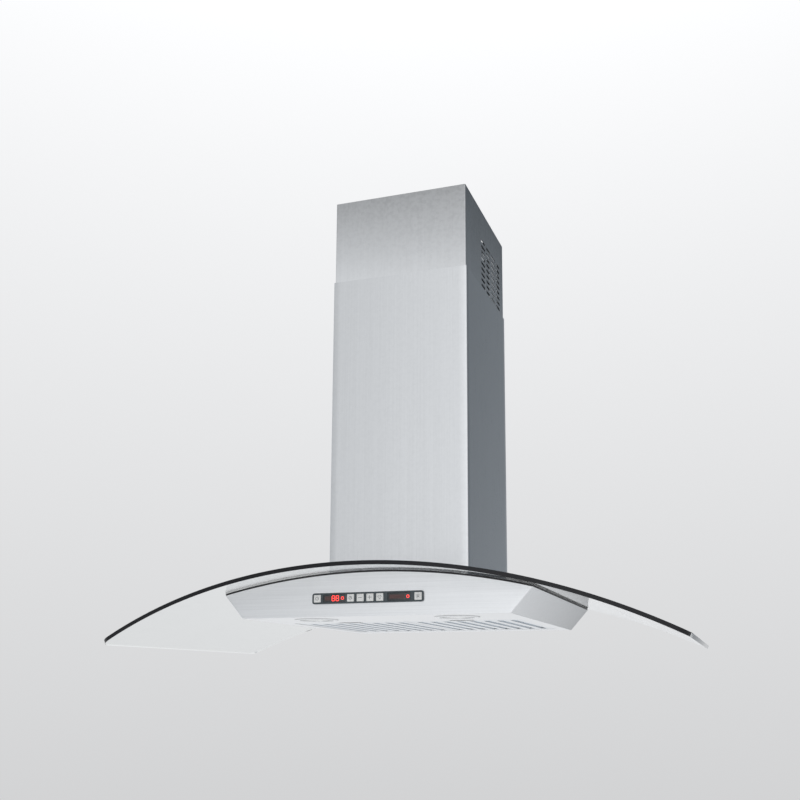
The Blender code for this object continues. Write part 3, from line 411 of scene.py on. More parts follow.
@dataclass(frozen=True)
class Steel(Finish):
    """Brushed or rolled steel sheet."""

    name: str
    colour: Colour
    roughness: float
    brushing: Brushing
    contrast: float = 0.05
    wear: float = 0.4
    dust: float = 0.0
    # ramps of painted shade, each darkening the colour along one direction
    painted_shades: tuple[PaintedShade, ...] = ()
    line_gloss: float = 0.03          # how much the brushed lines change the roughness
    handled_gloss: float = 0.035

    def make(self) -> bpy.types.Material:
        """Builds the steel: grain in colour, gloss and relief, handled and worn a little, with
        any painted shade in its colour.
        """
        material, graph, shader = new_material(self.name)
        place = place_of(graph)
        grain = GRAIN.place(graph, Vector=place, Stretch=self.brushing.value)
        handled = HANDLING.place(graph, Vector=place, Scale=7.0).outputs["Mask"]
        worn = WEAR.place(graph, Vector=place, Amount=self.wear).outputs["Mask"]
        lines, bands = grain.outputs["Lines"], grain.outputs["Bands"]
        fine, broad = self.contrast, self.contrast / 2
        light = graph.maths("MULTIPLY", graph.remap(lines, 0, 1, 1.0 - fine, 1.0 + fine),
                            graph.remap(bands, 0, 1, 1.0 - broad, 1.0 + broad))
        # painted shade: the colour is darkened along each ramp
        for tone in self.painted_shades:
            light = graph.maths("MULTIPLY", light, self.painted_shade_at(graph, place, tone))
        colour = graph.scaled(self.colour, light)
        colour = graph.blend(graph.maths("MULTIPLY", worn, 0.5), colour, RUBBED)
        rough = graph.remap(lines, 0, 1, -self.line_gloss, self.line_gloss)
        rough = graph.maths("ADD", rough, self.roughness)
        rough = graph.maths("ADD", rough, graph.remap(handled, 0, 1, 0.0, self.handled_gloss))
        if self.dust:
            dusty = DUST.place(graph, Vector=place, Amount=self.dust).outputs["Mask"]
            colour = graph.blend(dusty, colour, SETTLED)
            rough = graph.maths("ADD", rough, graph.maths("MULTIPLY", dusty, 0.4), clamp=True)
            shine = graph.maths("SUBTRACT", 1.0, graph.maths("MULTIPLY", dusty, 0.8))
            graph.feed(shader.inputs["Metallic"], shine)
        else:
            shader.inputs["Metallic"].default_value = 1.0
        graph.feed(shader.inputs["Base Color"], colour)
        graph.feed(shader.inputs["Roughness"], rough)
        graph.relief(shader, lines, 0.06, 0.2 * MM)
        return material

    @staticmethod
    def painted_shade_at(graph: Graph, place: Socket, tone: PaintedShade) -> Socket:
        """How light the colour is painted at each place under one ramp of painted shade."""
        return graph.remap(graph.dot(place, tone.direction), tone.start, tone.end, 1.0, tone.far)


@dataclass(frozen=True)
class Moulded(Finish):
    """Moulded plastic, rubber or paint: a fine skin texture and uneven gloss."""

    name: str
    colour: Colour
    roughness: float
    skin: float = 0.12        # strength of the surface texture
    skin_scale: float = 1400.0
    speckle: float = 0.06
    coat: float = 0.0
    wear: float = 0.25
    shine: float = 0.5        # strength of the plain reflection

    def make(self) -> bpy.types.Material:
        """Builds the plastic."""
        material, graph, shader = new_material(self.name)
        place = place_of(graph)
        skin = graph.noise(place, self.skin_scale)
        handled = HANDLING.place(graph, Vector=place, Scale=22.0).outputs["Mask"]
        worn = WEAR.place(graph, Vector=place, Amount=self.wear).outputs["Mask"]
        darker = tuple(part * (1.0 - 2.0 * self.speckle) for part in self.colour)
        lighter = tuple(min(1.0, part * 1.25 + 0.02) for part in self.colour)
        colour = graph.blend(graph.remap(skin, 0.35, 0.65, 0.0, 1.0), darker, self.colour)
        colour = graph.blend(graph.maths("MULTIPLY", worn, 0.6), colour, lighter)
        rough = graph.remap(handled, 0, 1, self.roughness, self.roughness * 0.82)
        graph.feed(shader.inputs["Base Color"], colour)
        graph.feed(shader.inputs["Roughness"], rough)
        shader.inputs["Coat Weight"].default_value = self.coat
        shader.inputs["Coat Roughness"].default_value = 0.08
        shader.inputs["Specular IOR Level"].default_value = self.shine
        graph.relief(shader, skin, self.skin, 0.1 * MM)
        return material


@dataclass(frozen=True)
class ClearGlass(Finish):
    """Clear float glass, its surface a very little wavy and smeared."""

    name: str
    colour: Colour = (0.975, 0.99, 0.985)
    index: float = 1.45
    roughness: float = 0.0

    def make(self) -> bpy.types.Material:
        """Builds the glass."""
        material, graph, shader = new_material(self.name)
        place = place_of(graph)
        wave = graph.noise(place, 3.0, 1.0)
        smear = HANDLING.place(graph, Vector=place, Scale=9.0).outputs["Mask"]
        tint = tuple(part * 0.992 for part in self.colour)
        graph.feed(shader.inputs["Base Color"], graph.blend(smear, self.colour, tint))
        graph.feed(shader.inputs["Roughness"],
                   graph.remap(smear, 0, 1, self.roughness, self.roughness + 0.012))
        shader.inputs["Metallic"].default_value = 0.0
        shader.inputs["Transmission Weight"].default_value = 1.0
        shader.inputs["IOR"].default_value = self.index
        graph.relief(shader, wave, 0.02, 0.5 * MM)
        return material


@dataclass(frozen=True)
class RibbedLens(Finish):
    """A lamp's pressed glass: frosted, with rings and fine radial ribs."""

    name: str
    middle: Pair
    colour: Colour = (0.90, 0.90, 0.88)
    ring_rate: float = 3600.0         # radians of ring pattern to a metre
    ribs: float = 72.0

    def make(self) -> bpy.types.Material:
        """Builds the lens about its own middle."""
        material, graph, shader = new_material(self.name)
        place = graph.vector("SUBTRACT", place_of(graph), (*self.middle, 0.0))
        x, y, _ = graph.parts(place)
        flat = graph.node("ShaderNodeCombineXYZ", {0: x, 1: y})
        radius = graph.node("ShaderNodeVectorMath", {0: flat.outputs[0]},
                            operation="LENGTH").outputs["Value"]
        turn = graph.maths("ARCTAN2", y, x)
        rings = graph.maths("SINE", graph.maths("MULTIPLY", radius, self.ring_rate))
        ribs = graph.maths("SINE", graph.maths("MULTIPLY", turn, self.ribs))
        height = graph.maths("ADD", graph.maths("MULTIPLY", rings, 0.6),
                             graph.maths("MULTIPLY", ribs, 0.4))
        frost = graph.noise(place, 900.0, 3.0)
        # painted shade: the colour is a little darker in the grooves of the rings and ribs
        shade = graph.remap(height, -1, 1, 0.93, 1.0)
        graph.feed(shader.inputs["Base Color"], graph.scaled(self.colour, shade))
        graph.feed(shader.inputs["Roughness"], graph.remap(frost, 0.3, 0.7, 0.22, 0.36))
        shader.inputs["Coat Weight"].default_value = 0.6
        shader.inputs["Coat Roughness"].default_value = 0.05
        graph.relief(shader, height, 0.35, 0.6 * MM)
        return material


@dataclass(frozen=True)
class Lit(Finish):
    """A lit or resting segment of a display, its glow a little uneven."""

    name: str
    colour: Colour
    glow: Colour
    strength: float

    def make(self) -> bpy.types.Material:
        """Builds the segment's finish."""
        material, graph, shader = new_material(self.name)
        cell = graph.noise(place_of(graph), 900.0, 1.0)
        dim = tuple(part * 0.75 for part in self.glow)
        graph.feed(shader.inputs["Base Color"],
                   graph.blend(cell, self.colour, tuple(part * 0.8 for part in self.colour)))
        graph.feed(shader.inputs["Emission Color"], graph.blend(cell, self.glow, dim))
        shader.inputs["Emission Strength"].default_value = self.strength
        shader.inputs["Roughness"].default_value = 0.4
        return material


@dataclass(frozen=True)
class Circuit(Finish):
    """A lacquered circuit board with copper tracks and solder pads."""

    name: str
    colour: Colour = (0.012, 0.10, 0.045)
    copper: Colour = (0.06, 0.26, 0.10)

    def make(self) -> bpy.types.Material:
        """Builds the board."""
        material, graph, shader = new_material(self.name)
        place = place_of(graph)
        tracks = graph.node("ShaderNodeTexBrick", {
            "Vector": graph.vector("MULTIPLY", place, (1.0, 1.0, 2.0)), "Scale": 160.0,
            "Mortar Size": 0.012, "Color1": (0, 0, 0, 1), "Color2": (0, 0, 0, 1),
            "Mortar": (1, 1, 1, 1)}).outputs["Color"]
        pads = graph.node("ShaderNodeTexVoronoi", {"Vector": place, "Scale": 420.0})
        pad = graph.remap(pads.outputs["Distance"], 0.12, 0.16, 1.0, 0.0)
        colour = graph.blend(tracks, self.colour, self.copper)
        colour = graph.blend(pad, colour, SOLDER)
        graph.feed(shader.inputs["Base Color"], colour)
        graph.feed(shader.inputs["Roughness"], graph.remap(pad, 0, 1, 0.32, 0.22))
        graph.feed(shader.inputs["Metallic"], pad)
        graph.relief(shader, tracks, 0.3, 0.2 * MM)
        return material


# ---- meshes ------------------------------------------------------
def one_finish(made: Piece, finish: Finish) -> Piece:
    """Leaves one finish, in one slot, on every face of a piece."""
    made.data.materials.clear()
    made.data.materials.append(finish.material())
    for face in made.data.polygons:
        face.material_index = 0
    return made


def new_object(name: str, mesh: bpy.types.Mesh, *finishes: Finish) -> Piece:
    """An object at the origin with its finishes in its material slots."""
    made = bpy.data.objects.new(name, mesh)
    bpy.context.scene.collection.objects.link(made)
    for finish in finishes:
        mesh.materials.append(finish.material())
    return made


def into_mesh(bm: bmesh.types.BMesh, name: str, sharp: float = 32.0) -> bpy.types.Mesh:
    """Turns a working mesh into a mesh that is smooth except along its true edges.

    Args:
        bm: the working mesh, which is freed.
        name: the mesh's name.
        sharp: edges that turn by more than these degrees stay sharp.

    Returns:
        The mesh.
    """
    mesh = bpy.data.meshes.new(name)
    bm.to_mesh(mesh)
    bm.free()
    stored = mesh.attributes.get("custom_normal")
    if stored:
        mesh.attributes.remove(stored)
    mesh.shade_smooth()
    mesh.set_sharp_from_angle(angle=math.radians(sharp))
    return mesh


def plain(made: Piece) -> Piece:
    """Applies the object's modifiers, so that it is a plain mesh."""
    view = bpy.context.evaluated_depsgraph_get()
    mesh = bpy.data.meshes.new_from_object(made.evaluated_get(view))
    made.modifiers.clear()
    made.data = mesh
    return made


def thicken(made: Piece, wall: float) -> Piece:
    """Gives an open sheet its wall, inward from the side that its faces point to.

    Args:
        made: the sheet.
        wall: its thickness.

    Returns:
        The piece, its modifier live.
    """
    step = made.modifiers.new("wall", "SOLIDIFY")
    step.thickness = wall
    step.offset = -1.0
    step.use_even_offset = True
    return made


def round_edges(made: Piece, width: float, segments: int = 2, angle: float = 38.0) -> Piece:
    """Rounds a piece's sharp edges.

    Args:
        made: the piece.
        width: how much each edge is rounded.
        segments: how many faces make the rounding.
        angle: edges that turn by more than these degrees are rounded.

    Returns:
        The piece, its modifier live.
    """
    step = made.modifiers.new("edges", "BEVEL")
    step.width = width
    step.segments = segments
    step.limit_method = "ANGLE"
    step.angle_limit = math.radians(angle)
    step.harden_normals = True
    return made


def flat_walls(made: Piece, sharp: float = 50.0) -> Piece:
    """Shades a piece by its large faces, so that its flat walls stay flat next to its cuts.

    Args:
        made: the piece, a plain mesh.
        sharp: edges that turn by more than these degrees stay sharp.

    Returns:
        The piece.
    """
    stored = made.data.attributes.get("custom_normal")
    if stored:
        made.data.attributes.remove(stored)
    made.data.shade_smooth()
    made.data.set_sharp_from_angle(angle=math.radians(sharp))
    step = made.modifiers.new("normals", "WEIGHTED_NORMAL")
    step.weight = 100
    step.keep_sharp = True
    return plain(made)


def cut_away(made: Piece, cutter: Piece) -> Piece:
    """Takes the cutter out of the piece, and removes the cutter.

    Args:
        made: the piece.
        cutter: a closed mesh.

    Returns:
        The piece as a plain mesh.
    """
    step = made.modifiers.new("cut", "BOOLEAN")
    step.operation = "DIFFERENCE"
    step.solver = "EXACT"
    step.use_self = True      # a cutter made of boxes that cross would leave nothing without it
    step.object = cutter
    plain(made)
    bpy.data.objects.remove(cutter, do_unlink=True)
    return made


def settle(made: Piece, body: str, slot: str, *nodes: str) -> Piece:
    """Hands a finished piece to the frame.

    Args:
        made: the piece, at the origin, with its place in its mesh.
        body: the CAD body it moves with.
        slot: the record's material slot; not used.
        nodes: the CAD nodes it stands for.

    Returns:
        The piece.

    Raises:
        ValueError: the piece has no faces or no finish.
    """
    if not made.data.polygons or not any(made.data.materials):
        raise ValueError(f"{made.name} has no faces or no finish")
    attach(made, body)
    if nodes:
        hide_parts(*nodes)
    LOG.info("%s: %d faces on %s", made.name, len(made.data.polygons), body)
    return made


def refine(node: str, finish: Finish, slot: str, edge: float = 0.3 * MM) -> Piece:
    """A copy of a CAD node with clean faces and rounded edges.

    Args:
        node: the CAD node, which the copy replaces.
        finish: the copy's finish.
        slot: the record's material slot.
        edge: how much its edges are rounded.

    Returns:
        The copy, handed to the frame.
    """
    bm = bmesh.new()
    bm.from_mesh(frame["nodes"][node].data)
    bmesh.ops.remove_doubles(bm, verts=bm.verts, dist=0.001 * MM)
    bmesh.ops.dissolve_limit(bm, angle_limit=math.radians(0.5), verts=bm.verts, edges=bm.edges)
    for face in bm.faces:
        face.material_index = 0
    made = new_object(f"{node}_finished", into_mesh(bm, node), finish)
    round_edges(made, edge)
    return settle(plain(made), frame["nodes"][node]["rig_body"], slot, node)


def filleted(corners: Outline, radius: float | Sequence[float], steps: int = 6) -> list[Pair]:
    """A closed outline with its corners rounded by arcs.

    Args:
        corners: the outline's corners, in order.
        radius: one radius for all, or one for each corner; zero leaves a corner as it is.
        steps: how many straight pieces make an arc.

    Returns:
        The points of the rounded outline.
    """
    radii = [radius] * len(corners) if isinstance(radius, float) else list(radius)
    points: list[Pair] = []
    for index, corner in enumerate(corners):
        if not radii[index]:
            points.append(tuple(corner))
            continue
        here = Vector(corner)
        back = (Vector(corners[index - 1]) - here).normalized()
        ahead = (Vector(corners[(index + 1) % len(corners)]) - here).normalized()
        half = math.acos(max(-1.0, min(1.0, back.dot(ahead)))) / 2
        centre = here + (back + ahead).normalized() * radii[index] / math.sin(half)
        first = here + back * radii[index] / math.tan(half) - centre
        last = here + ahead * radii[index] / math.tan(half) - centre
        sweep = math.atan2(first.x * last.y - first.y * last.x, first.dot(last))
        for step in range(steps + 1):
            turn = sweep * step / steps
            points.append((centre.x + first.x * math.cos(turn) - first.y * math.sin(turn),
                           centre.y + first.x * math.sin(turn) + first.y * math.cos(turn)))
    return points


def rectangle(low: Pair, high: Pair, radius: float, steps: int = 6) -> list[Pair]:
    """A rounded rectangle from its low to its high corner."""
    corners = [low, (high[0], low[1]), high, (low[0], high[1])]
    return filleted(corners, radius, steps) if radius else corners


def stepped(loop: Outline, pieces: int, longer_than: float = 20 * MM) -> list[Pair]:
    """Splits an outline's long straight runs.

    Args:
        loop: the closed outline.
        pieces: how many equal pieces a long run gets.
        longer_than: shorter runs stay whole.

    Returns:
        The same outline with more points.
    """
    points: list[Pair] = []
    for first, second in zip(loop, [*loop[1:], loop[0]]):
        start, run = Vector(first), Vector(second) - Vector(first)
        count = pieces if run.length > longer_than else 1
        points += [tuple(start + run * step / count) for step in range(count)]
    return points


@dataclass
class CutSheet:
    """A sheet cut to an outline with holes, bent to its place, thickened and edge-rounded."""

    name: str
    outline: Outline
    place: Callable[[float, float], Point]
    facing: Point             # roughly where its outer face looks
    wall: float
    holes: Sequence[Outline] = ()
    edge: float = 0.25 * MM
    slices: int = 0           # how many strips it is divided into along its first direction
    segments: int = 2

    def make(self, *finishes: Finish) -> Piece:
        """Builds the sheet."""
        bm = bmesh.new()
        for loop in (self.outline, *self.holes):
            corners = [bm.verts.new((u, v, 0.0)) for u, v in loop]
            for first, second in zip(corners, corners[1:] + corners[:1]):
                bm.edges.new((first, second))
        bmesh.ops.triangle_fill(bm, use_beauty=True, edges=bm.edges[:])
        low, high = min(u for u, _ in self.outline), max(u for u, _ in self.outline)
        for index in range(1, self.slices):
            bmesh.ops.bisect_plane(bm, geom=bm.verts[:] + bm.edges[:] + bm.faces[:],
                                   plane_co=(low + (high - low) * index / self.slices, 0, 0),
                                   plane_no=(1, 0, 0))
        for vert in bm.verts:
            vert.co = self.place(vert.co.x, vert.co.y)
        bmesh.ops.dissolve_limit(bm, angle_limit=math.radians(0.05), verts=bm.verts,
                                 edges=bm.edges)
        bmesh.ops.recalc_face_normals(bm, faces=bm.faces)
        bm.normal_update()
        looks = sum((face.normal * face.calc_area() for face in bm.faces), Vector())
        if looks.dot(Vector(self.facing)) < 0:
            bmesh.ops.reverse_faces(bm, faces=bm.faces)
        made = new_object(self.name, into_mesh(bm, self.name), *finishes)
        thicken(made, self.wall)
        if self.edge:
            round_edges(made, self.edge, self.segments)
        return plain(made)


def walled(name: str, low: Outline, high: Outline,
           floor: Callable[[float, float], float], top: Callable[[float, float], float],
           wall: float, *finishes: Finish, closed: bool = True,
           edge: float = 0.2 * MM) -> Piece:
    """A folded sheet wall that stands between two outlines.

    Args:
        name: the piece's name.
        low: the outline along its foot, counter-clockwise from above.
        high: the outline along its top, with as many points.
        floor: the foot's height at each place.
        top: the top's height at each place.
        wall: the sheet's thickness, inward.
        finishes: its finishes.
        closed: whether it runs all the way round.
        edge: how much its cut edges are rounded.

    Returns:
        The wall as a plain mesh.
    """
    bm = bmesh.new()
    feet = [bm.verts.new((x, y, floor(x, y))) for x, y in low]
    tops = [bm.verts.new((x, y, top(x, y))) for x, y in high]
    last = len(feet) if closed else len(feet) - 1
    for index in range(last):
        after = (index + 1) % len(feet)
        bm.faces.new((feet[index], feet[after], tops[after], tops[index]))
    bm.normal_update()
    made = new_object(name, into_mesh(bm, name, sharp=50.0), *finishes)
    return plain(round_edges(thicken(made, wall), edge, angle=55.0))


def turned(name: str, profile: Outline, foot: Point, direction: Point,
           *finishes: Finish, steps: int = 72, sharp: float = 32.0) -> Piece:
    """A turned piece.

    Args:
        name: the piece's name.
        profile: (radius, height) points down its outer side; a ring's profile comes back up
            its bore and is closed by the last step.
        foot: the point that height zero stands on.
        direction: the way its axis points.
        finishes: its finishes.
        steps: how many faces go round.
        sharp: edges that turn by more than these degrees stay sharp.

    Returns:
        The piece as a plain mesh.
    """
    turn = Vector((0, 0, 1)).rotation_difference(Vector(direction)).to_matrix().to_4x4()
    place = Matrix.Translation(foot) @ turn
    bm = bmesh.new()
    rings = []
    for radius, height in profile:
        count = steps if radius > 0 else 1
        rings.append([bm.verts.new(place @ Vector((
            radius * math.cos(2 * math.pi * index / steps),
            radius * math.sin(2 * math.pi * index / steps), height))) for index in range(count)])
    pairs = list(zip(rings, rings[1:]))
    if len(rings[0]) > 1 and len(rings[-1]) > 1:
        pairs.append((rings[-1], rings[0]))
    for upper, lower in pairs:
        for index in range(steps):
            after = (index + 1) % steps
            corners = [upper[index % len(upper)], lower[index % len(lower)],
                       lower[after % len(lower)], upper[after % len(upper)]]
            bm.faces.new(list(dict.fromkeys(corners)))
    bmesh.ops.recalc_face_normals(bm, faces=bm.faces)
    return new_object(name, into_mesh(bm, name, sharp), *finishes)


def rounded_block(bm: bmesh.types.BMesh, low: Point, high: Point, radius: float,
                  segments: int = 3) -> None:
    """Adds a box with rounded edges to a working mesh.

    Args:
        bm: the working mesh.
        low: the box's low corner.
        high: the box's high corner.
        radius: the radius along its edges.
        segments: how many faces make the rounding.
    """
    size = Vector(high) - Vector(low)
    place = Matrix.Translation(Vector(low) + size / 2) @ Matrix.Diagonal((*size, 1.0))
    cube = bmesh.ops.create_cube(bm, size=1.0, matrix=place)
    edges = list({edge for vert in cube["verts"] for edge in vert.link_edges})
    if radius:
        bmesh.ops.bevel(bm, geom=edges, offset=radius, segments=segments, profile=0.5,
                        affect="EDGES")


def blocks(name: str, boxes: Iterable[tuple[Point, Point]], radius: float,
           *finishes: Finish, segments: int = 3) -> Piece:
    """One piece made of rounded boxes.

    Args:
        name: the piece's name.
        boxes: each box's low and high corner.
        radius: the radius along every edge.
        finishes: its finishes.
        segments: how many faces make the rounding.

    Returns:
        The piece.
    """
    bm = bmesh.new()
    for low, high in boxes:
        rounded_block(bm, low, high, radius, segments)
    return new_object(name, into_mesh(bm, name), *finishes)


def drawn_out(name: str, section: Sequence[Point], travel: Point, *finishes: Finish) -> Piece:
    """A closed solid that a flat outline leaves as it travels.

    Args:
        name: the piece's name.
        section: the outline where it starts.
        travel: how far it goes.
        finishes: its finishes.

    Returns:
        The piece.
    """
    bm = bmesh.new()
    front = [bm.verts.new(point) for point in section]
    back = [bm.verts.new(Vector(point) + Vector(travel)) for point in section]
    for index, corner in enumerate(front):
        after = (index + 1) % len(front)
        bm.faces.new((corner, front[after], back[after], back[index]))
    bm.faces.new(front)
    bm.faces.new(list(reversed(back)))
    bmesh.ops.recalc_face_normals(bm, faces=bm.faces)
    return new_object(name, into_mesh(bm, name), *finishes)


def upright(node: str) -> tuple[Point, float, float]:
    """Where the foot of an upright round CAD node is, its radius and its height."""
    low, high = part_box(node)
    foot = ((low.x + high.x) / 2, (low.y + high.y) / 2, low.z)
    return foot, (high.x - low.x) / 2, high.z - low.z


# ---- what repeats ------------------------------------------------
class Repeat:
    """Geometry Nodes that set out one item in rows and columns or round an axis."""

    NAME = "set_out"
    SOCKETS = (("Item", "NodeSocketObject"), ("Columns", "NodeSocketInt"),
               ("Rows", "NodeSocketInt"), ("Column Step", "NodeSocketVector"),
               ("Row Step", "NodeSocketVector"), ("Start", "NodeSocketVector"),
               ("Turn Step", "NodeSocketVector"), ("Material", "NodeSocketMaterial"))

    @classmethod
    def tree(cls) -> bpy.types.NodeTree:
        """The node tree, made the first time it is asked for."""
        if cls.NAME in bpy.data.node_groups:
            return bpy.data.node_groups[cls.NAME]
        tree = bpy.data.node_groups.new(cls.NAME, "GeometryNodeTree")
        tree.interface.new_socket(name="Geometry", in_out="OUTPUT",
                                  socket_type="NodeSocketGeometry")
        tree.interface.new_socket(name="Geometry", in_out="INPUT",
                                  socket_type="NodeSocketGeometry")
        for name, kind in cls.SOCKETS:
            tree.interface.new_socket(name=name, in_out="INPUT", socket_type=kind)
        graph = Graph(tree)
        given = graph.node("NodeGroupInput").outputs
        columns = graph.node("GeometryNodeMeshLine", {
            "Count": given["Columns"], "Start Location": given["Start"],
            "Offset": given["Column Step"]}, mode="OFFSET")
        rows = graph.node("GeometryNodeMeshLine", {"Count": given["Rows"],
                                                   "Offset": given["Row Step"]}, mode="OFFSET")
        places = graph.node("GeometryNodeInstanceOnPoints", {
            "Points": columns.outputs[0], "Instance": rows.outputs[0]})
        places = graph.node("GeometryNodeRealizeInstances", {0: places.outputs[0]})
        item = graph.node("GeometryNodeObjectInfo", {"Object": given["Item"]})
        index = graph.node("GeometryNodeInputIndex").outputs[0]
        turn = graph.scaled(given["Turn Step"], index)
        rotation = graph.node("FunctionNodeEulerToRotation", {0: turn}).outputs[0]
        items = graph.node("GeometryNodeInstanceOnPoints", {
            "Points": places.outputs[0], "Instance": item.outputs["Geometry"],
            "Rotation": rotation})
        real = graph.node("GeometryNodeRealizeInstances", {0: items.outputs[0]})
        dressed = graph.node("GeometryNodeSetMaterial", {"Geometry": real.outputs[0],
                                                         "Material": given["Material"]})
        graph.node("NodeGroupOutput", {0: dressed.outputs[0]})
        return tree

    @classmethod
    def make(cls, name: str, item: Piece, finish: Finish, **values: object) -> Piece:
        """Sets the item out, and removes the single item.

        Args:
            name: the new piece's name.
            item: the item, placed relative to the origin.
            finish: the piece's finish.
            values: the tree's inputs, with _ for a space in their names.

        Returns:
            All of the items as one plain mesh.
        """
        given = {"Item": item, "Columns": 1, "Rows": 1, "Material": finish.material()}
        given |= {key.replace("_", " ").title(): value for key, value in values.items()}
        made = new_object(name, bpy.data.meshes.new(name))
        step = made.modifiers.new("set_out", "NODES")
        step.node_group = cls.tree()
        for socket in cls.tree().interface.items_tree:
            if socket.in_out == "INPUT" and socket.name in given:
                step[socket.identifier] = given[socket.name]
        made.update_tag()
        plain(made)
        bpy.data.objects.remove(item, do_unlink=True)
        return one_finish(made, finish)


def screw_head(direction: Point, radius: float = 3.4 * MM) -> Piece:
    """One pan-head screw at the origin, with a cross cut in its head.

    Args:
        direction: the way the head faces.
        radius: the head's radius.

    Returns:
        The screw.
    """
    rise = radius * 0.5
    dome = [(0.0, rise)]
    dome += [(radius * 0.96 * math.sin(math.radians(angle)),
              rise * (0.35 + 0.65 * math.cos(math.radians(angle)))) for angle in (30, 60, 90)]
    head = turned("screw_head", [*dome, (radius, 0.0), (0.0, 0.0)], (0, 0, 0), (0, 0, 1),
                  steps=20)
    slot, reach = radius * 0.13, radius * 0.55
    cross = blocks("cross_cut", [((-reach, -slot, rise * 0.45), (reach, slot, 2 * rise)),
                                 ((-slot, -reach, rise * 0.44), (slot, reach, 2.1 * rise))], 0.0)
    cut_away(head, cross)
    turn = Vector((0, 0, 1)).rotation_difference(Vector(direction)).to_matrix().to_4x4()
    head.data.transform(turn)
    return head


def screws(name: str, body: str, direction: Point, start: Point, finish: Finish, slot: str,
           radius: float = 3.4 * MM, **values: object) -> Piece:
    """Rows and columns of screws on one body.

    Args:
        name: the piece's name.
        body: the CAD body they ride on.
        direction: the way the heads face.
        start: the first screw's foot.
        finish: their finish.
        slot: the record's material slot.
        radius: each head's radius.
        values: how they are set out, as Repeat.make takes it.

    Returns:
        The screws, handed to the frame.
    """
    made = Repeat.make(name, screw_head(direction, radius), finish, start=start, **values)
    return settle(made, body, slot)


# ---- finishes of this hood ---------------------------------------
CHIMNEY_STEEL = Steel("chimney_steel", (0.72, 0.73, 0.74), 0.30, Brushing.UPRIGHT, contrast=0.03)
# painted shade: the upper cover's steel is a lighter copy of the chimney steel, painted darker
# towards the top and towards the right
UPPER_STEEL_PAINTED_SHADE = Steel("upper_chimney_steel_painted_shade", (0.79, 0.80, 0.81), 0.30, Brushing.UPRIGHT,
                    contrast=0.03, painted_shades=(PaintedShade((0, 0, 1), -0.143, -0.001, 0.53),
                                          PaintedShade((1, 0, 0), -0.10, 0.10, 0.85)))
# painted shade: the body's steel is painted darker towards the back
BODY_STEEL_PAINTED_SHADE = Steel("body_steel", (0.84, 0.85, 0.86), 0.34, Brushing.ACROSS,
                   painted_shades=(PaintedShade((0, 1, 0), -0.22, 0.235, 0.62),))
PANEL_STEEL = Steel("panel_steel", (0.90, 0.905, 0.91), 0.42, Brushing.ACROSS, contrast=0.03)
FILTER_STEEL = Steel("filter_steel", (0.80, 0.82, 0.84), 0.32, Brushing.DEEP)
BAFFLE_STEEL = Steel("baffle_steel", (0.80, 0.86, 0.92), 0.36, Brushing.DEEP)
ZINC = Steel("zinc_sheet", (0.62, 0.64, 0.66), 0.42, Brushing.ROLLED, contrast=0.12,
             dust=0.35)
BRIGHT = Steel("bright_steel", (0.80, 0.81, 0.82), 0.16, Brushing.ROLLED, contrast=0.03)
MOTOR_IRON = Steel("motor_paint", (0.33, 0.34, 0.35), 0.45, Brushing.ROLLED, dust=0.3)
# painted shade: a near-black finish for the upper cover's inner faces, standing in for the shadow
# inside the chimney
COVER_INSIDE_PAINTED_SHADE = Steel("cover_inside_painted_shade", (0.07, 0.075, 0.08), 0.65, Brushing.ROLLED, wear=0.0)
GLASS = ClearGlass("canopy_glass")
# painted shade: a near-black finish for the glass's front edge, standing in for how a glass edge
# looks dark seen edge-on
GLASS_EDGE_PAINTED_SHADE = Moulded("glass_edge_painted_shade", (0.009, 0.009, 0.011), 0.22, skin=0.02, shine=0.25)
RUBBER = Moulded("black_rubber", (0.018, 0.018, 0.02), 0.62, skin=0.3)
STRIP_PLASTIC = Moulded("strip_plastic", (0.042, 0.058, 0.066), 0.34, coat=0.25)
BUTTON_PLASTIC = Moulded("button_plastic", (0.80, 0.80, 0.78), 0.42, skin=0.1)
SYMBOL_INK = Moulded("symbol_ink", (0.16, 0.17, 0.18), 0.5, skin=0.05)
BLACK_PLASTIC = Moulded("black_plastic", (0.028, 0.028, 0.03), 0.48, skin=0.3)
WHITE_PLASTIC = Moulded("white_plastic", (0.74, 0.74, 0.71), 0.46, skin=0.15)
WINDOW = Moulded("display_window", (0.038, 0.040, 0.042), 0.22, skin=0.01, coat=0.2)
LIT_RED = Lit("lit_red", (0.35, 0.01, 0.01), (1.0, 0.06, 0.05), 2.6)
RESTING_RED = Lit("resting_red", (0.075, 0.045, 0.042), (0.30, 0.05, 0.04), 0.06)
BOARD = Circuit("circuit_board")


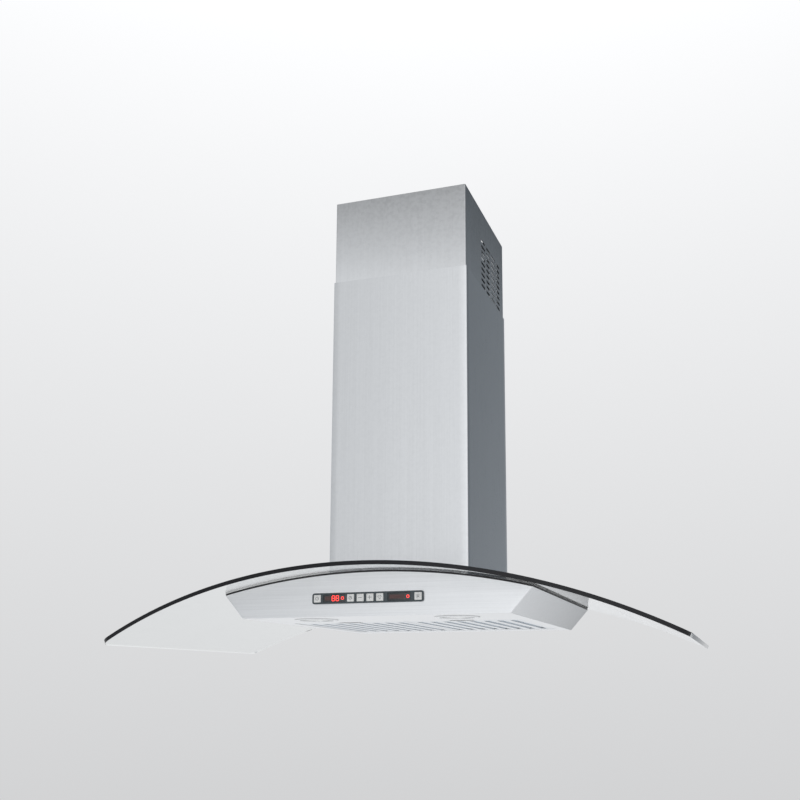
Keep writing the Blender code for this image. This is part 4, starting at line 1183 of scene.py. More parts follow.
# ---- sub-assemblies ----------------------------------------------
@dataclass
class CeilingFrame:
    """The plate on the ceiling and the two sets of posts that carry the hood."""

    edge: float = 0.4 * MM
    clamp_rise: float = 0.030         # clamping screws above and below the middle of the lap
    clamp_inset: float = 2.0 * MM     # clamping screws off the middle of a post's flange
    rivet: float = 2.2 * MM
    rivets_a_side: int = 4
    flange: float = 2.0 * MM          # rivets in from the plate's side

    def build(self) -> None:
        """Builds and dresses the plate and the posts."""
        refine("ceiling_plate", ZINC, "zinc_steel", self.edge)
        for level in ("upper", "lower"):
            for end in ENDS:
                for side in SIDES:
                    refine(f"{level}_post_{end}_{side}", ZINC, "zinc_steel", self.edge)
        self.clamps()
        self.rivets()

    def clamps(self) -> None:
        """Two screws through each pair of posts, heads towards the middle of the hood."""
        low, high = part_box("lower_post_front_left")
        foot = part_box("upper_post_front_left")[0].z
        middle = (high.z + foot) / 2
        for side, across in SIDES.items():
            face = abs(low.x) - 1.5 * MM
            inner = (high.y + low.y) / 2 + self.clamp_inset
            start = (across * face, inner, middle - self.clamp_rise)
            screws(f"clamp_screws_{side}", "hood", (-across, 0, 0), start, BRIGHT, "zinc_steel",
                   columns=2, column_step=(0, -2 * inner, 0), rows=2,
                   row_step=(0, 0, 2 * self.clamp_rise))

    def rivets(self) -> None:
        """A row of rivets along each side flange of the plate."""
        low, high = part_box("ceiling_plate")
        count = self.rivets_a_side
        pitch = (high.y - low.y) * 0.8 / (count - 1)
        for side, across in SIDES.items():
            item = turned("rivet", [(0, self.rivet * 0.5), (self.rivet * 0.7, self.rivet * 0.35),
                                    (self.rivet, 0.0), (0, 0)], (0, 0, 0), (-across, 0, 0),
                          steps=16)
            made = Repeat.make(f"plate_rivets_{side}", item, BRIGHT, columns=count,
                               start=(across * (high.x - self.flange),
                                      -(count - 1) / 2 * pitch, (low.z + high.z) / 2),
                               column_step=(0, pitch, 0))
            settle(made, "ceiling_frame", "zinc_steel")


def paint_shade_inside(made: Piece, finish: Finish) -> Piece:
    """Gives a cover's inner faces, the ones that look towards its axis, a dark finish of painted
    shade.

    Args:
        made: the cover, round the origin's upright axis.
        finish: the painted-shade finish of its inner faces.

    Returns:
        The cover.
    """
    made.data.materials.append(finish.material())
    for face in made.data.polygons:
        away = face.center.xy
        if face.normal.xy.dot(away) < -0.5 * away.length:
            face.material_index = 1
    return made


@dataclass(frozen=True)
class Arc:
    """The arc that the glass, the gasket, the body and the chimney's foot share."""

    half_width: float
    top: float                # world height of the glass at its crown
    rise: float = 0.105
    wall: float = 6.0 * MM

    @property
    def radius(self) -> float:
        """Radius of the middle of the glass."""
        return (self.half_width ** 2 + self.rise ** 2) / (2 * self.rise)

    def height(self, x: float, offset: float = 0.0) -> float:
        """World height, where it crosses x, of the surface that lies offset above the arc."""
        centre = self.top - self.wall / 2 - self.radius
        return centre + math.sqrt((self.radius + offset) ** 2 - x ** 2)


ARC = Arc(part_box("glass_canopy")[1].x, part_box("glass_canopy")[1].z)


@dataclass
class Chimney:
    """The two folded covers that slide over each other, seamed down the back."""

    fold: float = 1.6 * MM
    wall: float = 1.0 * MM
    seam: float = 0.4 * MM
    strap: float = 24.0 * MM          # width of the strip behind each seam
    foot_clear: float = 0.5 * MM
    vent_rows: int = 9
    vent_columns: int = 4
    vent_length: float = 25.0 * MM
    vent_height: float = 4.5 * MM
    vent_row_pitch: float = 10.0 * MM
    vent_column_pitch: float = 33.5 * MM
    first_vent: Point = (0.0, -14.5 * MM, 576.5 * MM)

    def loop(self, half: Vector) -> list[Pair]:
        """The cover's outline, open at the seam in the middle of the back.

        Args:
            half: half its width and depth.

        Returns:
            The outline's points, from one side of the seam round to the other.
        """
        corners = [(-half.x, -half.y), (half.x, -half.y), (half.x, half.y),
                   (self.seam, half.y), (-self.seam, half.y), (-half.x, half.y)]
        round_at = [self.fold if index not in (3, 4) else 0.0 for index in range(6)]
        ring = filleted(corners, round_at, steps=5)
        seam = next(index for index, (x, y) in enumerate(ring)
                    if abs(x + self.seam) < HAIR and y > 0)
        return stepped(ring[seam:] + ring[:seam], 20)

    def build(self) -> None:
        """Builds and dresses both covers."""
        self.cover("lower_chimney", "hood", CHIMNEY_STEEL, arc_foot=True)
        # the upper cover's steel carries painted shade, darker towards the top and the right
        upper = self.cover("upper_chimney", "upper_cover", UPPER_STEEL_PAINTED_SHADE, arc_foot=False)
        self.vent(upper)

    def cover(self, node: str, body: str, finish: Finish, arc_foot: bool) -> Piece:
        """One cover with the strip behind its seam, and where its foot follows the glass, the
        screws that close it.

        Args:
            node: the CAD node it stands for.
            body: the CAD body it moves with.
            finish: its finish.
            arc_foot: whether its foot follows the glass.

        Returns:
            The cover.
        """
        low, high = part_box(node)
        loop = self.loop(high)

        def floor(x: float, y: float) -> float:
            """The foot's height."""
            return ARC.height(x, ARC.wall / 2 + self.foot_clear) if arc_foot else low.z

        made = walled(f"{node}_cover", loop, loop, floor, lambda x, y: high.z, self.wall, finish,
                      closed=False)
        settle(made, body, "chimney_steel", node)
        strap_low = max(low.z, floor(0.0, high.y)) + self.fold
        strap = blocks(f"{node}_seam_strap",
                       [((-self.strap / 2, high.y - 1.7 * self.wall, strap_low),
                         (self.strap / 2, high.y - 1.02 * self.wall, high.z - self.fold))],
                       0.1 * MM, finish, segments=1)
        settle(strap, body, "chimney_steel")
        count = 4
        rise = (high.z - strap_low) * 0.88 / (count - 1)
        if arc_foot:
            screws(f"{node}_seam_screws", body, BACKWARD,
                   (-self.strap / 4, high.y - 1.2 * self.wall, strap_low + rise * 0.2), BRIGHT,
                   "bright_steel", radius=2.0 * MM, columns=2,
                   column_step=(self.strap / 2, 0, 0), rows=count, row_step=(0, 0, rise))
        return made

    def vent(self, cover: Piece) -> None:
        """Cuts the field of round-ended vents through both sides of the upper cover."""
        side, half_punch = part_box("upper_chimney")[1].x, 4 * MM
        _, first_y, first_h = self.first_vent
        outline = rectangle((-self.vent_length / 2, -self.vent_height / 2),
                            (self.vent_length / 2, self.vent_height / 2),
                            self.vent_height / 2 - 0.05 * MM, steps=5)
        for across in SIDES.values():
            start = across * side - half_punch
            punch = drawn_out("vent_punch", [(start, y, z) for y, z in outline],
                              (2 * half_punch, 0, 0))
            field_of = Repeat.make("vent_punches", punch, CHIMNEY_STEEL,
                                   columns=self.vent_columns, rows=self.vent_rows,
                                   start=(0, first_y, UNDERSIDE + first_h),
                                   column_step=(0, self.vent_column_pitch, 0),
                                   row_step=(0, 0, self.vent_row_pitch))
            cut_away(cover, field_of)
        flat_walls(one_finish(cover, UPPER_STEEL_PAINTED_SHADE))
        # painted shade: the cover's inner faces take the near-black inside finish
        paint_shade_inside(cover, COVER_INSIDE_PAINTED_SHADE)


@dataclass
class Canopy:
    """The bent glass and the black gasket under it."""

    depth: float = 0.600
    end_depth: float = 0.500
    corner: float = 20.0 * MM
    polish: float = 0.9 * MM
    neck_clear: float = 6.0 * MM
    neck_corner: float = 20.0 * MM
    bolt_hole: float = 6.0 * MM
    gasket_width: float = 4.0 * MM

    def half_depth(self, x: float) -> float:
        """Half the glass's front-to-back size where it crosses x."""
        return self.depth / 2 - (self.depth - self.end_depth) / 2 * (x / ARC.half_width) ** 2

    def outline(self) -> list[Pair]:
        """The glass's outline from above, its corners rounded.

        Returns:
            The outline's points, along the front and back again.
        """
        count = 72
        along = [ARC.half_width * (2 * index / count - 1) for index in range(count + 1)]
        along = [x for x in along if abs(x) < ARC.half_width - 1.5 * self.corner
                 or abs(x) > ARC.half_width - HAIR]
        front = [(x, -self.half_depth(x)) for x in along]
        corners = front + [(x, -y) for x, y in reversed(front)]
        radii = [self.corner if abs(x) > ARC.half_width - HAIR else 0.0 for x, _ in corners]
        return filleted(corners, radii, steps=10)

    def build(self) -> None:
        """Builds and dresses the glass and its gasket."""
        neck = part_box("air_neck")[1]
        wide, deep = neck.x + self.neck_clear, neck.y + self.neck_clear
        holes = [rectangle((-wide, -deep), (wide, deep), self.neck_corner)]
        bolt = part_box("standoff_rear_right")
        at = (bolt[0] + bolt[1]) / 2
        for across in SIDES.values():
            for along in ENDS.values():
                holes.append([(across * at.x + self.bolt_hole * math.cos(turn * math.pi / 12),
                               along * at.y + self.bolt_hole * math.sin(turn * math.pi / 12))
                              for turn in range(24)])
        glass = CutSheet("canopy_glass_bent", self.outline(),
                         lambda x, y: (x, y, ARC.height(x, ARC.wall / 2)), UP, ARC.wall, holes,
                         edge=self.polish, slices=120, segments=3).make(GLASS, GLASS_EDGE_PAINTED_SHADE)
        # painted shade: the rim faces that look to the front take the near-black edge finish
        for face in glass.data.polygons:
            rim = abs(face.center.y) > self.half_depth(face.center.x) - 1.6 * self.polish \
                or abs(face.center.x) > ARC.half_width - self.corner
            face.material_index = 1 if rim and face.normal.y < -0.30 else 0
        settle(glass, "hood", "canopy_glass", "glass_canopy")
        self.gasket()

    def gasket(self) -> None:
        """The lip of rubber between the body's top edge and the glass."""
        low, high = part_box("glass_gasket")
        top = -ARC.wall / 2 - 0.3 * MM
        ring = rectangle((low.x, low.y), (high.x, high.y), 2.0 * MM)
        inner = self.gasket_width
        hole = rectangle((low.x + inner, low.y + inner), (high.x - inner, high.y - inner),
                         1.0 * MM)
        made = CutSheet("gasket_lip", ring, lambda x, y: (x, y, ARC.height(x, top)), UP,
                        2.4 * MM, [hole], edge=0.5 * MM, slices=64).make(RUBBER)
        settle(made, "hood", "black_rubber", "glass_gasket")


@dataclass
class Body:
    """The folded steel body, the panel under it, and what it hangs from."""

    slope: float = 0.871
    fold: float = 2.2 * MM
    wall: float = 1.0 * MM
    seat: float = 6.0 * MM            # body's top edge below the middle of the glass
    strip_lap: float = 1.0 * MM

    def build(self) -> None:
        """Builds and dresses the body and its chassis."""
        self.shell()
        self.panel()
        for node in ("chassis_plate", "air_neck", "blower_base"):
            refine(node, ZINC, "zinc_steel")
        for end in ENDS:
            for side in SIDES:
                self.standoff(f"standoff_{end}_{side}")

    def shell(self) -> None:
        """Four walls folded from one sheet, cut to the arc on top."""
        low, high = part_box("body_shell")
        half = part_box("underside_panel")[1].x + self.wall * math.hypot(1, self.slope) + 0.3 * MM
        foot = stepped(rectangle((-half, low.y), (half, high.y), self.fold, 5), 48)
        crest = stepped(rectangle((low.x, low.y), (high.x, high.y), self.fold, 5), 48)
        # the body's steel carries painted shade, darker towards the back
        made = walled("body_casing", foot, crest, lambda x, y: low.z,
                      lambda x, y: ARC.height(x, -self.seat), self.wall, BODY_STEEL_PAINTED_SHADE)
        strip_low, strip_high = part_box("control_strip")
        lap = Vector((self.strip_lap, 0, self.strip_lap))
        opening = blocks("strip_opening", [(strip_low + lap - Vector((0, 0.01, 0)),
                                            strip_high - lap + Vector((0, 0.01, 0)))], 0.0)
        cut_away(made, opening)
        flat_walls(one_finish(made, BODY_STEEL_PAINTED_SHADE))
        settle(made, "hood", "body_steel", "body_shell")

    def panel(self) -> None:
        """The underside panel, which shows no fastener."""
        refine("underside_panel", PANEL_STEEL, "body_steel", 0.35 * MM)

    @staticmethod
    def standoff(node: str) -> None:
        """A bolt sleeve with chamfered ends and a waist, in place of its CAD node."""
        foot, radius, tall = upright(node)
        edge = 0.6 * MM
        waist = radius - 0.7 * MM
        profile = [(0, tall), (radius - edge, tall), (radius, tall - edge),
                   (radius, tall * 0.8), (waist, tall * 0.76), (waist, tall * 0.24),
                   (radius, tall * 0.2), (radius, edge), (radius - edge, 0), (0, 0)]
        settle(turned(f"{node}_sleeve", profile, foot, UP, BRIGHT, steps=40), "hood",
               "zinc_steel", node)


@dataclass
class Lamps:
    """Two recessed lamps with pressed rings and ribbed lenses."""

    opening: float = 26.2 * MM
    sleeve: float = 29.8 * MM
    wall: float = 1.0 * MM
    proud: float = 1.8 * MM

    def build(self) -> None:
        """Builds and dresses both lamps."""
        for side in SIDES:
            self.lamp(side)

    def lamp(self, side: str) -> None:
        """One lamp: ring, lens and can.

        Args:
            side: left or right.
        """
        low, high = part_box(f"lamp_ring_{side}")
        centre = (low + high) / 2
        outer, tall = (high.x - low.x) / 2, high.z - UNDERSIDE
        base = (centre.x, centre.y, UNDERSIDE)
        inner = self.sleeve - self.wall
        ring = [(self.sleeve, tall), (self.sleeve, -0.3 * MM), (outer, -0.3 * MM)]
        crown = [(outer - 1.9 * MM * share, -self.proud + 1.4 * MM * (1 - share) ** 2)
                 for share in (0.05, 0.2, 0.45, 0.75, 1.0)]
        lip = [(self.opening + 1.4 * MM, -self.proud), (self.opening + 0.5 * MM, -1.6 * MM),
               (self.opening, -1.0 * MM), (self.opening, 0.0), (inner, 0.0), (inner, tall)]
        settle(turned(f"lamp_trim_{side}", ring + crown + lip, base, UP, BRIGHT, steps=96),
               "hood", "bright_steel", f"lamp_ring_{side}")
        lens_low, lens_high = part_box(f"lamp_lens_{side}")
        edge = (lens_high.x - lens_low.x) / 2
        thick = lens_high.z - UNDERSIDE
        dome = [(self.opening * 0.96 * math.sin(turn), 0.3 * MM - 1.0 * MM * math.cos(turn))
                for turn in (math.radians(angle) for angle in (90, 75, 60, 45, 30, 15))]
        profile = [(0, thick), (edge, thick), (edge, 0.3 * MM), *dome, (0, -0.7 * MM)]
        lens = RibbedLens(f"lamp_lens_glass_{side}", (centre.x, centre.y))
        settle(turned(f"lamp_glass_{side}", profile, base, UP, lens, steps=96), "hood",
               "lamp_glass", f"lamp_lens_{side}")
        can_low, can_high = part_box(f"lamp_can_{side}")
        radius, top, foot = (can_high.x - can_low.x) / 2, can_high.z, can_low.z
        tall = top - foot
        can = [(0, tall), (radius * 0.35, tall), (radius * 0.4, tall - 1.2 * MM),
               (radius * 0.82, tall - 1.2 * MM), (radius, tall - 5 * MM), (radius, 0),
               (radius - self.wall, 0), (radius - self.wall, tall - 5.4 * MM),
               (radius * 0.8, tall - 2.2 * MM), (0, tall - 2.2 * MM)]
        settle(turned(f"lamp_housing_{side}", can, (base[0], base[1], foot), UP, ZINC,
                      steps=72), "hood", "zinc_steel", f"lamp_can_{side}")


@dataclass
class GreaseFilter:
    """A baffle filter: a folded frame, a lower and an upper layer of baffles, and its latch."""

    side: str
    sheet: float = 0.8 * MM
    slots: int = 8
    pitch: float = 22.0 * MM
    slot: float = 10.0 * MM
    front_margin: float = 34.0 * MM
    back_margin: float = 12.0 * MM
    lip_fall: float = 3.4 * MM
    bend: float = 1.6 * MM
    corner: float = 3.0 * MM
    tab: tuple[float, float, float] = (18.0 * MM, 6.0 * MM, 2.0 * MM)
    hinge_up: float = 3.5 * MM
    latch_travel: float = 5.0 * MM
    ribs: int = 5
    low: Vector = field(init=False)
    high: Vector = field(init=False)

    def __post_init__(self) -> None:
        """Takes its place from the frame."""
        self.low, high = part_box(f"filter_{self.side}")
        self.high = high - Vector((0, self.tab[1], 0))

    @property
    def middle(self) -> float:
        """The filter's middle in X."""
        return (self.low.x + self.high.x) / 2

    def build(self) -> None:
        """Builds and dresses the filter and its latch."""
        body = f"filter_{self.side}"
        front, back = self.low.y + self.front_margin, self.high.y - self.back_margin
        faces = self.face("face", self.slots, self.low.z + self.sheet, True)
        settle(faces, body, "filter_steel", f"filter_{self.side}")
        settle(self.face("back_sheet", self.slots - 1, self.high.z, False), body,
               "filter_steel")
        settle(self.rim(), body, "filter_steel")
        for layer, count, base, way in (("lower", self.slots, self.low.z + self.sheet / 2, 1),
                                        ("upper", self.slots - 1, self.high.z - self.sheet / 2,
                                         -1)):
            lips = Repeat.make(f"filter_{self.side}_{layer}_baffles",
                               self.lips(front, back, way), BAFFLE_STEEL, columns=count,
                               start=(self.middle - (count - 1) / 2 * self.pitch, 0, base),
                               column_step=(self.pitch, 0, 0))
            settle(lips, body, "filter_steel")
        self.latch()

    def face(self, name: str, count: int, top: float, with_latch: bool) -> Piece:
        """The slotted sheet on one side of the filter.

        Args:
            name: the end of the piece's name.
            count: how many slots it has.
            top: the height of its upper face.
            with_latch: whether it has the latch's opening.

        Returns:
            The sheet.
        """
        front, back = self.low.y + self.front_margin, self.high.y - self.back_margin
        holes = []
        for index in range(count):
            x = self.middle + (index - (count - 1) / 2) * self.pitch
            holes.append(rectangle((x - self.slot / 2, front), (x + self.slot / 2, back),
                                   2.0 * MM, 4))
        if with_latch:
            low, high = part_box(f"filter_latch_{self.side}")
            play = 0.6 * MM
            inset = 4.0 * MM
            holes.append([(low.x + inset - play, low.y + 2 * MM + inset - play),
                          (high.x - inset + play, low.y + 2 * MM + inset - play),
                          (high.x - inset + play, high.y - MM + self.latch_travel + play),
                          (low.x + inset - play, high.y - MM + self.latch_travel + play)])
        outline = rectangle((self.low.x, self.low.y), (self.high.x, self.high.y), self.corner)
        return CutSheet(f"filter_{self.side}_{name}", outline, lambda x, y: (x, y, top), UP,
                        self.sheet, holes, edge=0.2 * MM).make(FILTER_STEEL)

    def rim(self) -> Piece:
        """The frame's upright edge, with the two hinge tabs at the back."""
        loop = rectangle((self.low.x, self.low.y), (self.high.x, self.high.y), self.corner)
        low, high = self.low.z + self.sheet, self.high.z - self.sheet
        rim = walled(f"filter_{self.side}_rim", loop, loop, lambda x, y: low, lambda x, y: high,
                     self.sheet, FILTER_STEEL, edge=0.1 * MM)
        wide, reach, thick = self.tab
        foot = self.low.z + self.hinge_up
        width = self.high.x - self.low.x
        tabs = blocks("tabs", [((x - wide / 2, self.high.y - 2 * MM, foot),
                                (x + wide / 2, self.high.y + reach, foot + thick))
                               for x in (self.middle - width / 3, self.middle + width / 3)],
                      0.5 * MM, FILTER_STEEL)
        return joined(rim, tabs)

    def lips(self, front: float, back: float, way: int) -> Piece:
        """The two bent-in edges of one slot, as a section drawn along it.

        Args:
            front: where the slot starts.
            back: where the slot ends.
            way: 1 where the lips stand up from the sheet, -1 where they hang down.

        Returns:
            Both lips, about the slot's middle.
        """
        pair = []
        for across in SIDES.values():
            wall = self.slot / 2
            section = [(wall + self.bend, 0.0)]
            section += [(wall + self.bend * (1 - math.sin(turn)),
                         self.bend * (1 - math.cos(turn)))
                        for turn in (math.radians(angle) for angle in (30, 60, 90))]
            section += [(wall, self.lip_fall), (wall + self.sheet, self.lip_fall)]
            section += [(wall + self.sheet, self.bend + 0.2 * MM),
                        (wall + self.bend, self.sheet)]
            section = [(across * x, front + MM, way * z) for x, z in section]
            pair.append(drawn_out("lip", section, (0, back - front - 2 * MM, 0)))
        return joined(*pair)

    def latch(self) -> None:
        """The sliding latch: its plate, a raised grip and fine ribs across it."""
        node = f"filter_latch_{self.side}"
        refine(node, BLACK_PLASTIC, "black_plastic", 0.25 * MM)
        low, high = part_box(node)
        wide = (high.x - low.x) * 0.5
        rib = blocks("rib", [((-wide / 2, -0.5 * MM, -0.25 * MM),
                              (wide / 2, 0.5 * MM, 0.25 * MM))], 0.2 * MM, segments=2)
        pitch = 1.9 * MM
        middle = (low.y + 2 * MM + high.y - MM) / 2
        made = Repeat.make(f"latch_ribs_{self.side}", rib, BLACK_PLASTIC, columns=self.ribs,
                           start=(self.middle, middle - (self.ribs - 1) / 2 * pitch, low.z),
                           column_step=(0, pitch, 0))
        settle(made, f"latch_{self.side}", "black_plastic")


def joined(*pieces: Piece) -> Piece:
    """Joins pieces into the first one.

    Args:
        pieces: the pieces; all but the first are removed.

    Returns:
        The first piece, with its own finishes.
    """
    bm = bmesh.new()
    for piece in pieces:
        bm.from_mesh(piece.data)
    first, *rest = pieces
    materials = list(first.data.materials)
    mesh = into_mesh(bm, first.data.name)
    for material in materials:
        mesh.materials.append(material)
    first.data = mesh
    for piece in rest:
        bpy.data.objects.remove(piece, do_unlink=True)
    return first


class Symbol(Enum):
    """The generic marks on the six buttons, from left to right."""

    POWER = 1
    CLOCK = 2
    LESS = 3
    MORE = 4
    FAN = 5
    LAMP = 6


@dataclass
class Marks:
    """Thin flat marks on an upright face, drawn with bars and rings."""

    name: str
    centre: Vector            # middle of the mark, on the face
    finish: Finish
    raise_by: float = HAIR
    bm: bmesh.types.BMesh = field(default_factory=bmesh.new)

    def patch(self, corners: Outline) -> None:
        """A flat patch with its corners in (x, z) from the mark's middle."""
        rings = []
        for y in (self.centre.y - self.raise_by, self.centre.y):
            rings.append([self.bm.verts.new((self.centre.x + x, y, self.centre.z + z))
                          for x, z in corners])
        front, back = rings
        self.bm.faces.new(front)
        self.bm.faces.new(list(reversed(back)))
        for index in range(len(front)):
            after = (index + 1) % len(front)
            self.bm.faces.new((front[index], back[index], back[after], front[after]))

    def bar(self, start: Pair, end: Pair, width: float) -> None:
        """A straight bar with pointed ends.

        Args:
            start: (x, z) of one end, from the mark's middle.
            end: (x, z) of the other end.
            width: how wide it is.
        """
        first, last = Vector(start), Vector(end)
        along = (last - first).normalized() * width / 2
        side = Vector((-along.y, along.x))
        self.patch([tuple(point) for point in (
            first - along, first + side, last + side, last + along, last - side,
            first - side)])

    def ring(self, radius: float, width: float, start: float = 0.0, sweep: float = 360.0,
             centre: Pair = (0.0, 0.0), steps: int = 20) -> None:
        """A ring or part of one, made of short patches.

        Args:
            radius: its outer radius.
            width: how wide its line is.
            start: where it starts, in degrees.
            sweep: how many degrees it covers.
            centre: (x, z) of its middle, from the mark's middle.
            steps: how many patches it has.
        """
        def at(distance: float, step: int) -> Pair:
            """The point so far out at one step."""
            turn = math.radians(start + sweep * step / steps)
            return (centre[0] + distance * math.cos(turn), centre[1] + distance * math.sin(turn))

        for step in range(steps):
            self.patch([at(radius - width, step), at(radius, step), at(radius, step + 1),
                        at(radius - width, step + 1)])

    def done(self) -> Piece:
        """The marks as one object."""
        bmesh.ops.remove_doubles(self.bm, verts=self.bm.verts, dist=0.001 * MM)
        bmesh.ops.recalc_face_normals(self.bm, faces=self.bm.faces)
        return new_object(self.name, into_mesh(self.bm, self.name), self.finish)


@dataclass
class Controls:
    """The strip in the front wall, with its buttons, windows and what is behind them."""

    corner: float = 3.4 * MM
    proud: float = 2.0 * MM
    lap: float = 1.3 * MM
    recess: float = 0.4 * MM          # each window behind the strip's face
    digit: Pair = (4.2 * MM, 7.4 * MM)
    segment: float = 0.8 * MM
    cap: float = 5.5 * MM             # half a button's cap
    cap_clear: float = 0.25 * MM
    stem: float = 2.0 * MM
    flange: float = 1.3 * MM
    digits_at: Pair = (-1.2 * MM, 5.2 * MM)
    lamp_at: float = 13.4 * MM        # the round lamp, right of each window's middle
    lamp_radius: float = 2.3 * MM
    lamp_line: float = 0.7 * MM
    field_from: float = -14.5 * MM    # the resting field, and where it ends in each window
    field_to: Pair = (-5.5 * MM, 8.0 * MM)
    field_half: float = 2.9 * MM

    def build(self) -> None:
        """Builds and dresses the strip and everything on it."""
        self.strip()
        for symbol in Symbol:
            self.button(symbol)
        for index in (1, 2):
            self.window(index)
            refine(f"display_module_{index}", BLACK_PLASTIC, "black_plastic")
        refine("control_board", BOARD, "circuit_board", 0.1 * MM)
        refine("control_tray", BLACK_PLASTIC, "black_plastic")

    def openings(self) -> list[list[Pair]]:
        """The outlines of the button holes and the windows.

        Returns:
            Each outline's (x, z) points.
        """
        holes = []
        for symbol in Symbol:
            low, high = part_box(f"button_{symbol.value}")
            middle, cap = (low + high) / 2, self.cap + self.cap_clear
            holes.append(rectangle((middle.x - cap, middle.z - cap),
                                   (middle.x + cap, middle.z + cap), 1.0 * MM, 4))
        for index in (1, 2):
            low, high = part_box(f"display_lens_{index}")
            gap = 0.3 * MM
            holes.append(rectangle((low.x - gap, low.z - gap), (high.x + gap, high.z + gap),
                                   1.0 * MM, 4))
        return holes

    def strip(self) -> None:
        """The strip's face and the plug behind it that fills the body's opening."""
        low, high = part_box("control_strip")
        front = low.y

        def outline(draw_in: float) -> list[Pair]:
            """The strip's outline, drawn in all round."""
            return rectangle((low.x + draw_in, low.z + draw_in),
                             (high.x - draw_in, high.z - draw_in), self.corner - draw_in)

        face = CutSheet("control_strip_face", outline(0.0), lambda x, z: (x, front, z), FORWARD,
                        self.proud - 0.3 * MM, self.openings(), edge=0.55 * MM,
                        segments=3).make(STRIP_PLASTIC)
        settle(face, "hood", "strip_plastic", "control_strip")
        plug = CutSheet("control_strip_plug", outline(self.lap),
                        lambda x, z: (x, front + self.proud - 0.3 * MM, z), FORWARD,
                        high.y - low.y - self.proud + 0.3 * MM, self.openings()).make(
                            STRIP_PLASTIC)
        settle(plug, "hood", "strip_plastic")

    def button(self, symbol: Symbol) -> None:
        """One button: a cap on its flange and stem, with its mark.

        Args:
            symbol: the mark it bears, which also numbers it.
        """
        node = f"button_{symbol.value}"
        low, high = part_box(node)
        middle, cap, stem = (low + high) / 2, self.cap, self.stem
        strip_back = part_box("control_strip")[1].y
        flange_back = strip_back + self.flange
        made = blocks(f"{node}_cap", [
            ((middle.x - cap, low.y, middle.z - cap),
             (middle.x + cap, strip_back + 0.3 * MM, middle.z + cap))], 0.8 * MM, BUTTON_PLASTIC)
        behind = blocks("behind", [
            ((low.x, strip_back + 0.3 * MM, low.z), (high.x, flange_back, high.z)),
            ((middle.x - stem, flange_back, middle.z - stem),
             (middle.x + stem, high.y, middle.z + stem))], 0.25 * MM)
        settle(joined(made, behind), node, "button_plastic", node)
        face = Vector((middle.x, low.y, middle.z))
        marks = Marks(f"{node}_mark", face, SYMBOL_INK)
        self.draw(marks, symbol)
        settle(marks.done(), node, "button_plastic")

    @staticmethod
    def draw(marks: Marks, symbol: Symbol) -> None:
        """Draws one generic symbol.

        Args:
            marks: what it is drawn on.
            symbol: which one.
        """
        width, reach = 0.55 * MM, 2.6 * MM
        if symbol is Symbol.POWER:
            marks.ring(reach, width, start=120, sweep=300)
            marks.bar((0, 0.4 * MM), (0, 3.2 * MM), width)
        elif symbol is Symbol.CLOCK:
            marks.ring(reach, width)
            marks.bar((0, 0), (0, 1.6 * MM), width)
            marks.bar((0, 0), (1.2 * MM, 0), width)
        elif symbol in (Symbol.LESS, Symbol.MORE):
            marks.bar((-reach, 0), (reach, 0), width)
            if symbol is Symbol.MORE:
                marks.raise_by = 1.4 * HAIR
                marks.bar((0, -reach), (0, reach), width)
        elif symbol is Symbol.FAN:
            for start in (30, 150, 270):
                turn = math.radians(start)
                marks.ring(1.5 * MM, width, start=start - 60, sweep=200,
                           centre=(1.6 * MM * math.cos(turn), 1.6 * MM * math.sin(turn)))
        else:
            marks.ring(1.5 * MM, width)
            for ray in range(8):
                turn = math.radians(45 * ray)
                marks.bar((2.1 * MM * math.cos(turn), 2.1 * MM * math.sin(turn)),
                          (3.1 * MM * math.cos(turn), 3.1 * MM * math.sin(turn)), width * 0.8)

    def window(self, index: int) -> None:
        """One display: its dark window, its lit marks and its resting field.

        Args:
            index: 1 for the window with the digits, 2 for the other.
        """
        node = f"display_lens_{index}"
        low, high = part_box(node)
        made = blocks(f"display_window_{index}",
                      [((low.x, low.y + self.recess, low.z), (high.x, high.y, high.z))],
                      0.3 * MM, WINDOW)
        settle(made, "hood", "display_window", node)
        centre = Vector(((low.x + high.x) / 2, low.y + self.recess, (low.z + high.z) / 2))
        lit = Marks(f"display_lit_{index}", centre, LIT_RED)
        resting = Marks(f"display_field_{index}", centre, RESTING_RED)
        if index == 1:
            for offset in self.digits_at:
                self.eight(lit, offset)
        lit.ring(self.lamp_radius, self.lamp_line, centre=(self.lamp_at, 0.0))
        start, end, tall = self.field_from, self.field_to[index - 1], self.field_half
        resting.patch([(start, -tall), (end, -tall), (end, tall), (start, tall)])
        settle(lit.done(), "hood", "display_window")
        settle(resting.done(), "hood", "display_window")

    def eight(self, marks: Marks, middle: float) -> None:
        """One digit with all of its seven segments lit.

        Args:
            marks: what it is drawn on.
            middle: how far right of the window's middle it stands.
        """
        wide, tall = self.digit[0] / 2, self.digit[1] / 2
        gap = self.segment * 0.55
        for height in (-tall, 0.0, tall):
            marks.bar((middle - wide + gap, height), (middle + wide - gap, height),
                      self.segment)
        for across in (-wide, wide):
            for start, end in ((-tall, 0.0), (0.0, tall)):
                marks.bar((middle + across, start + gap), (middle + across, end - gap),
                          self.segment)


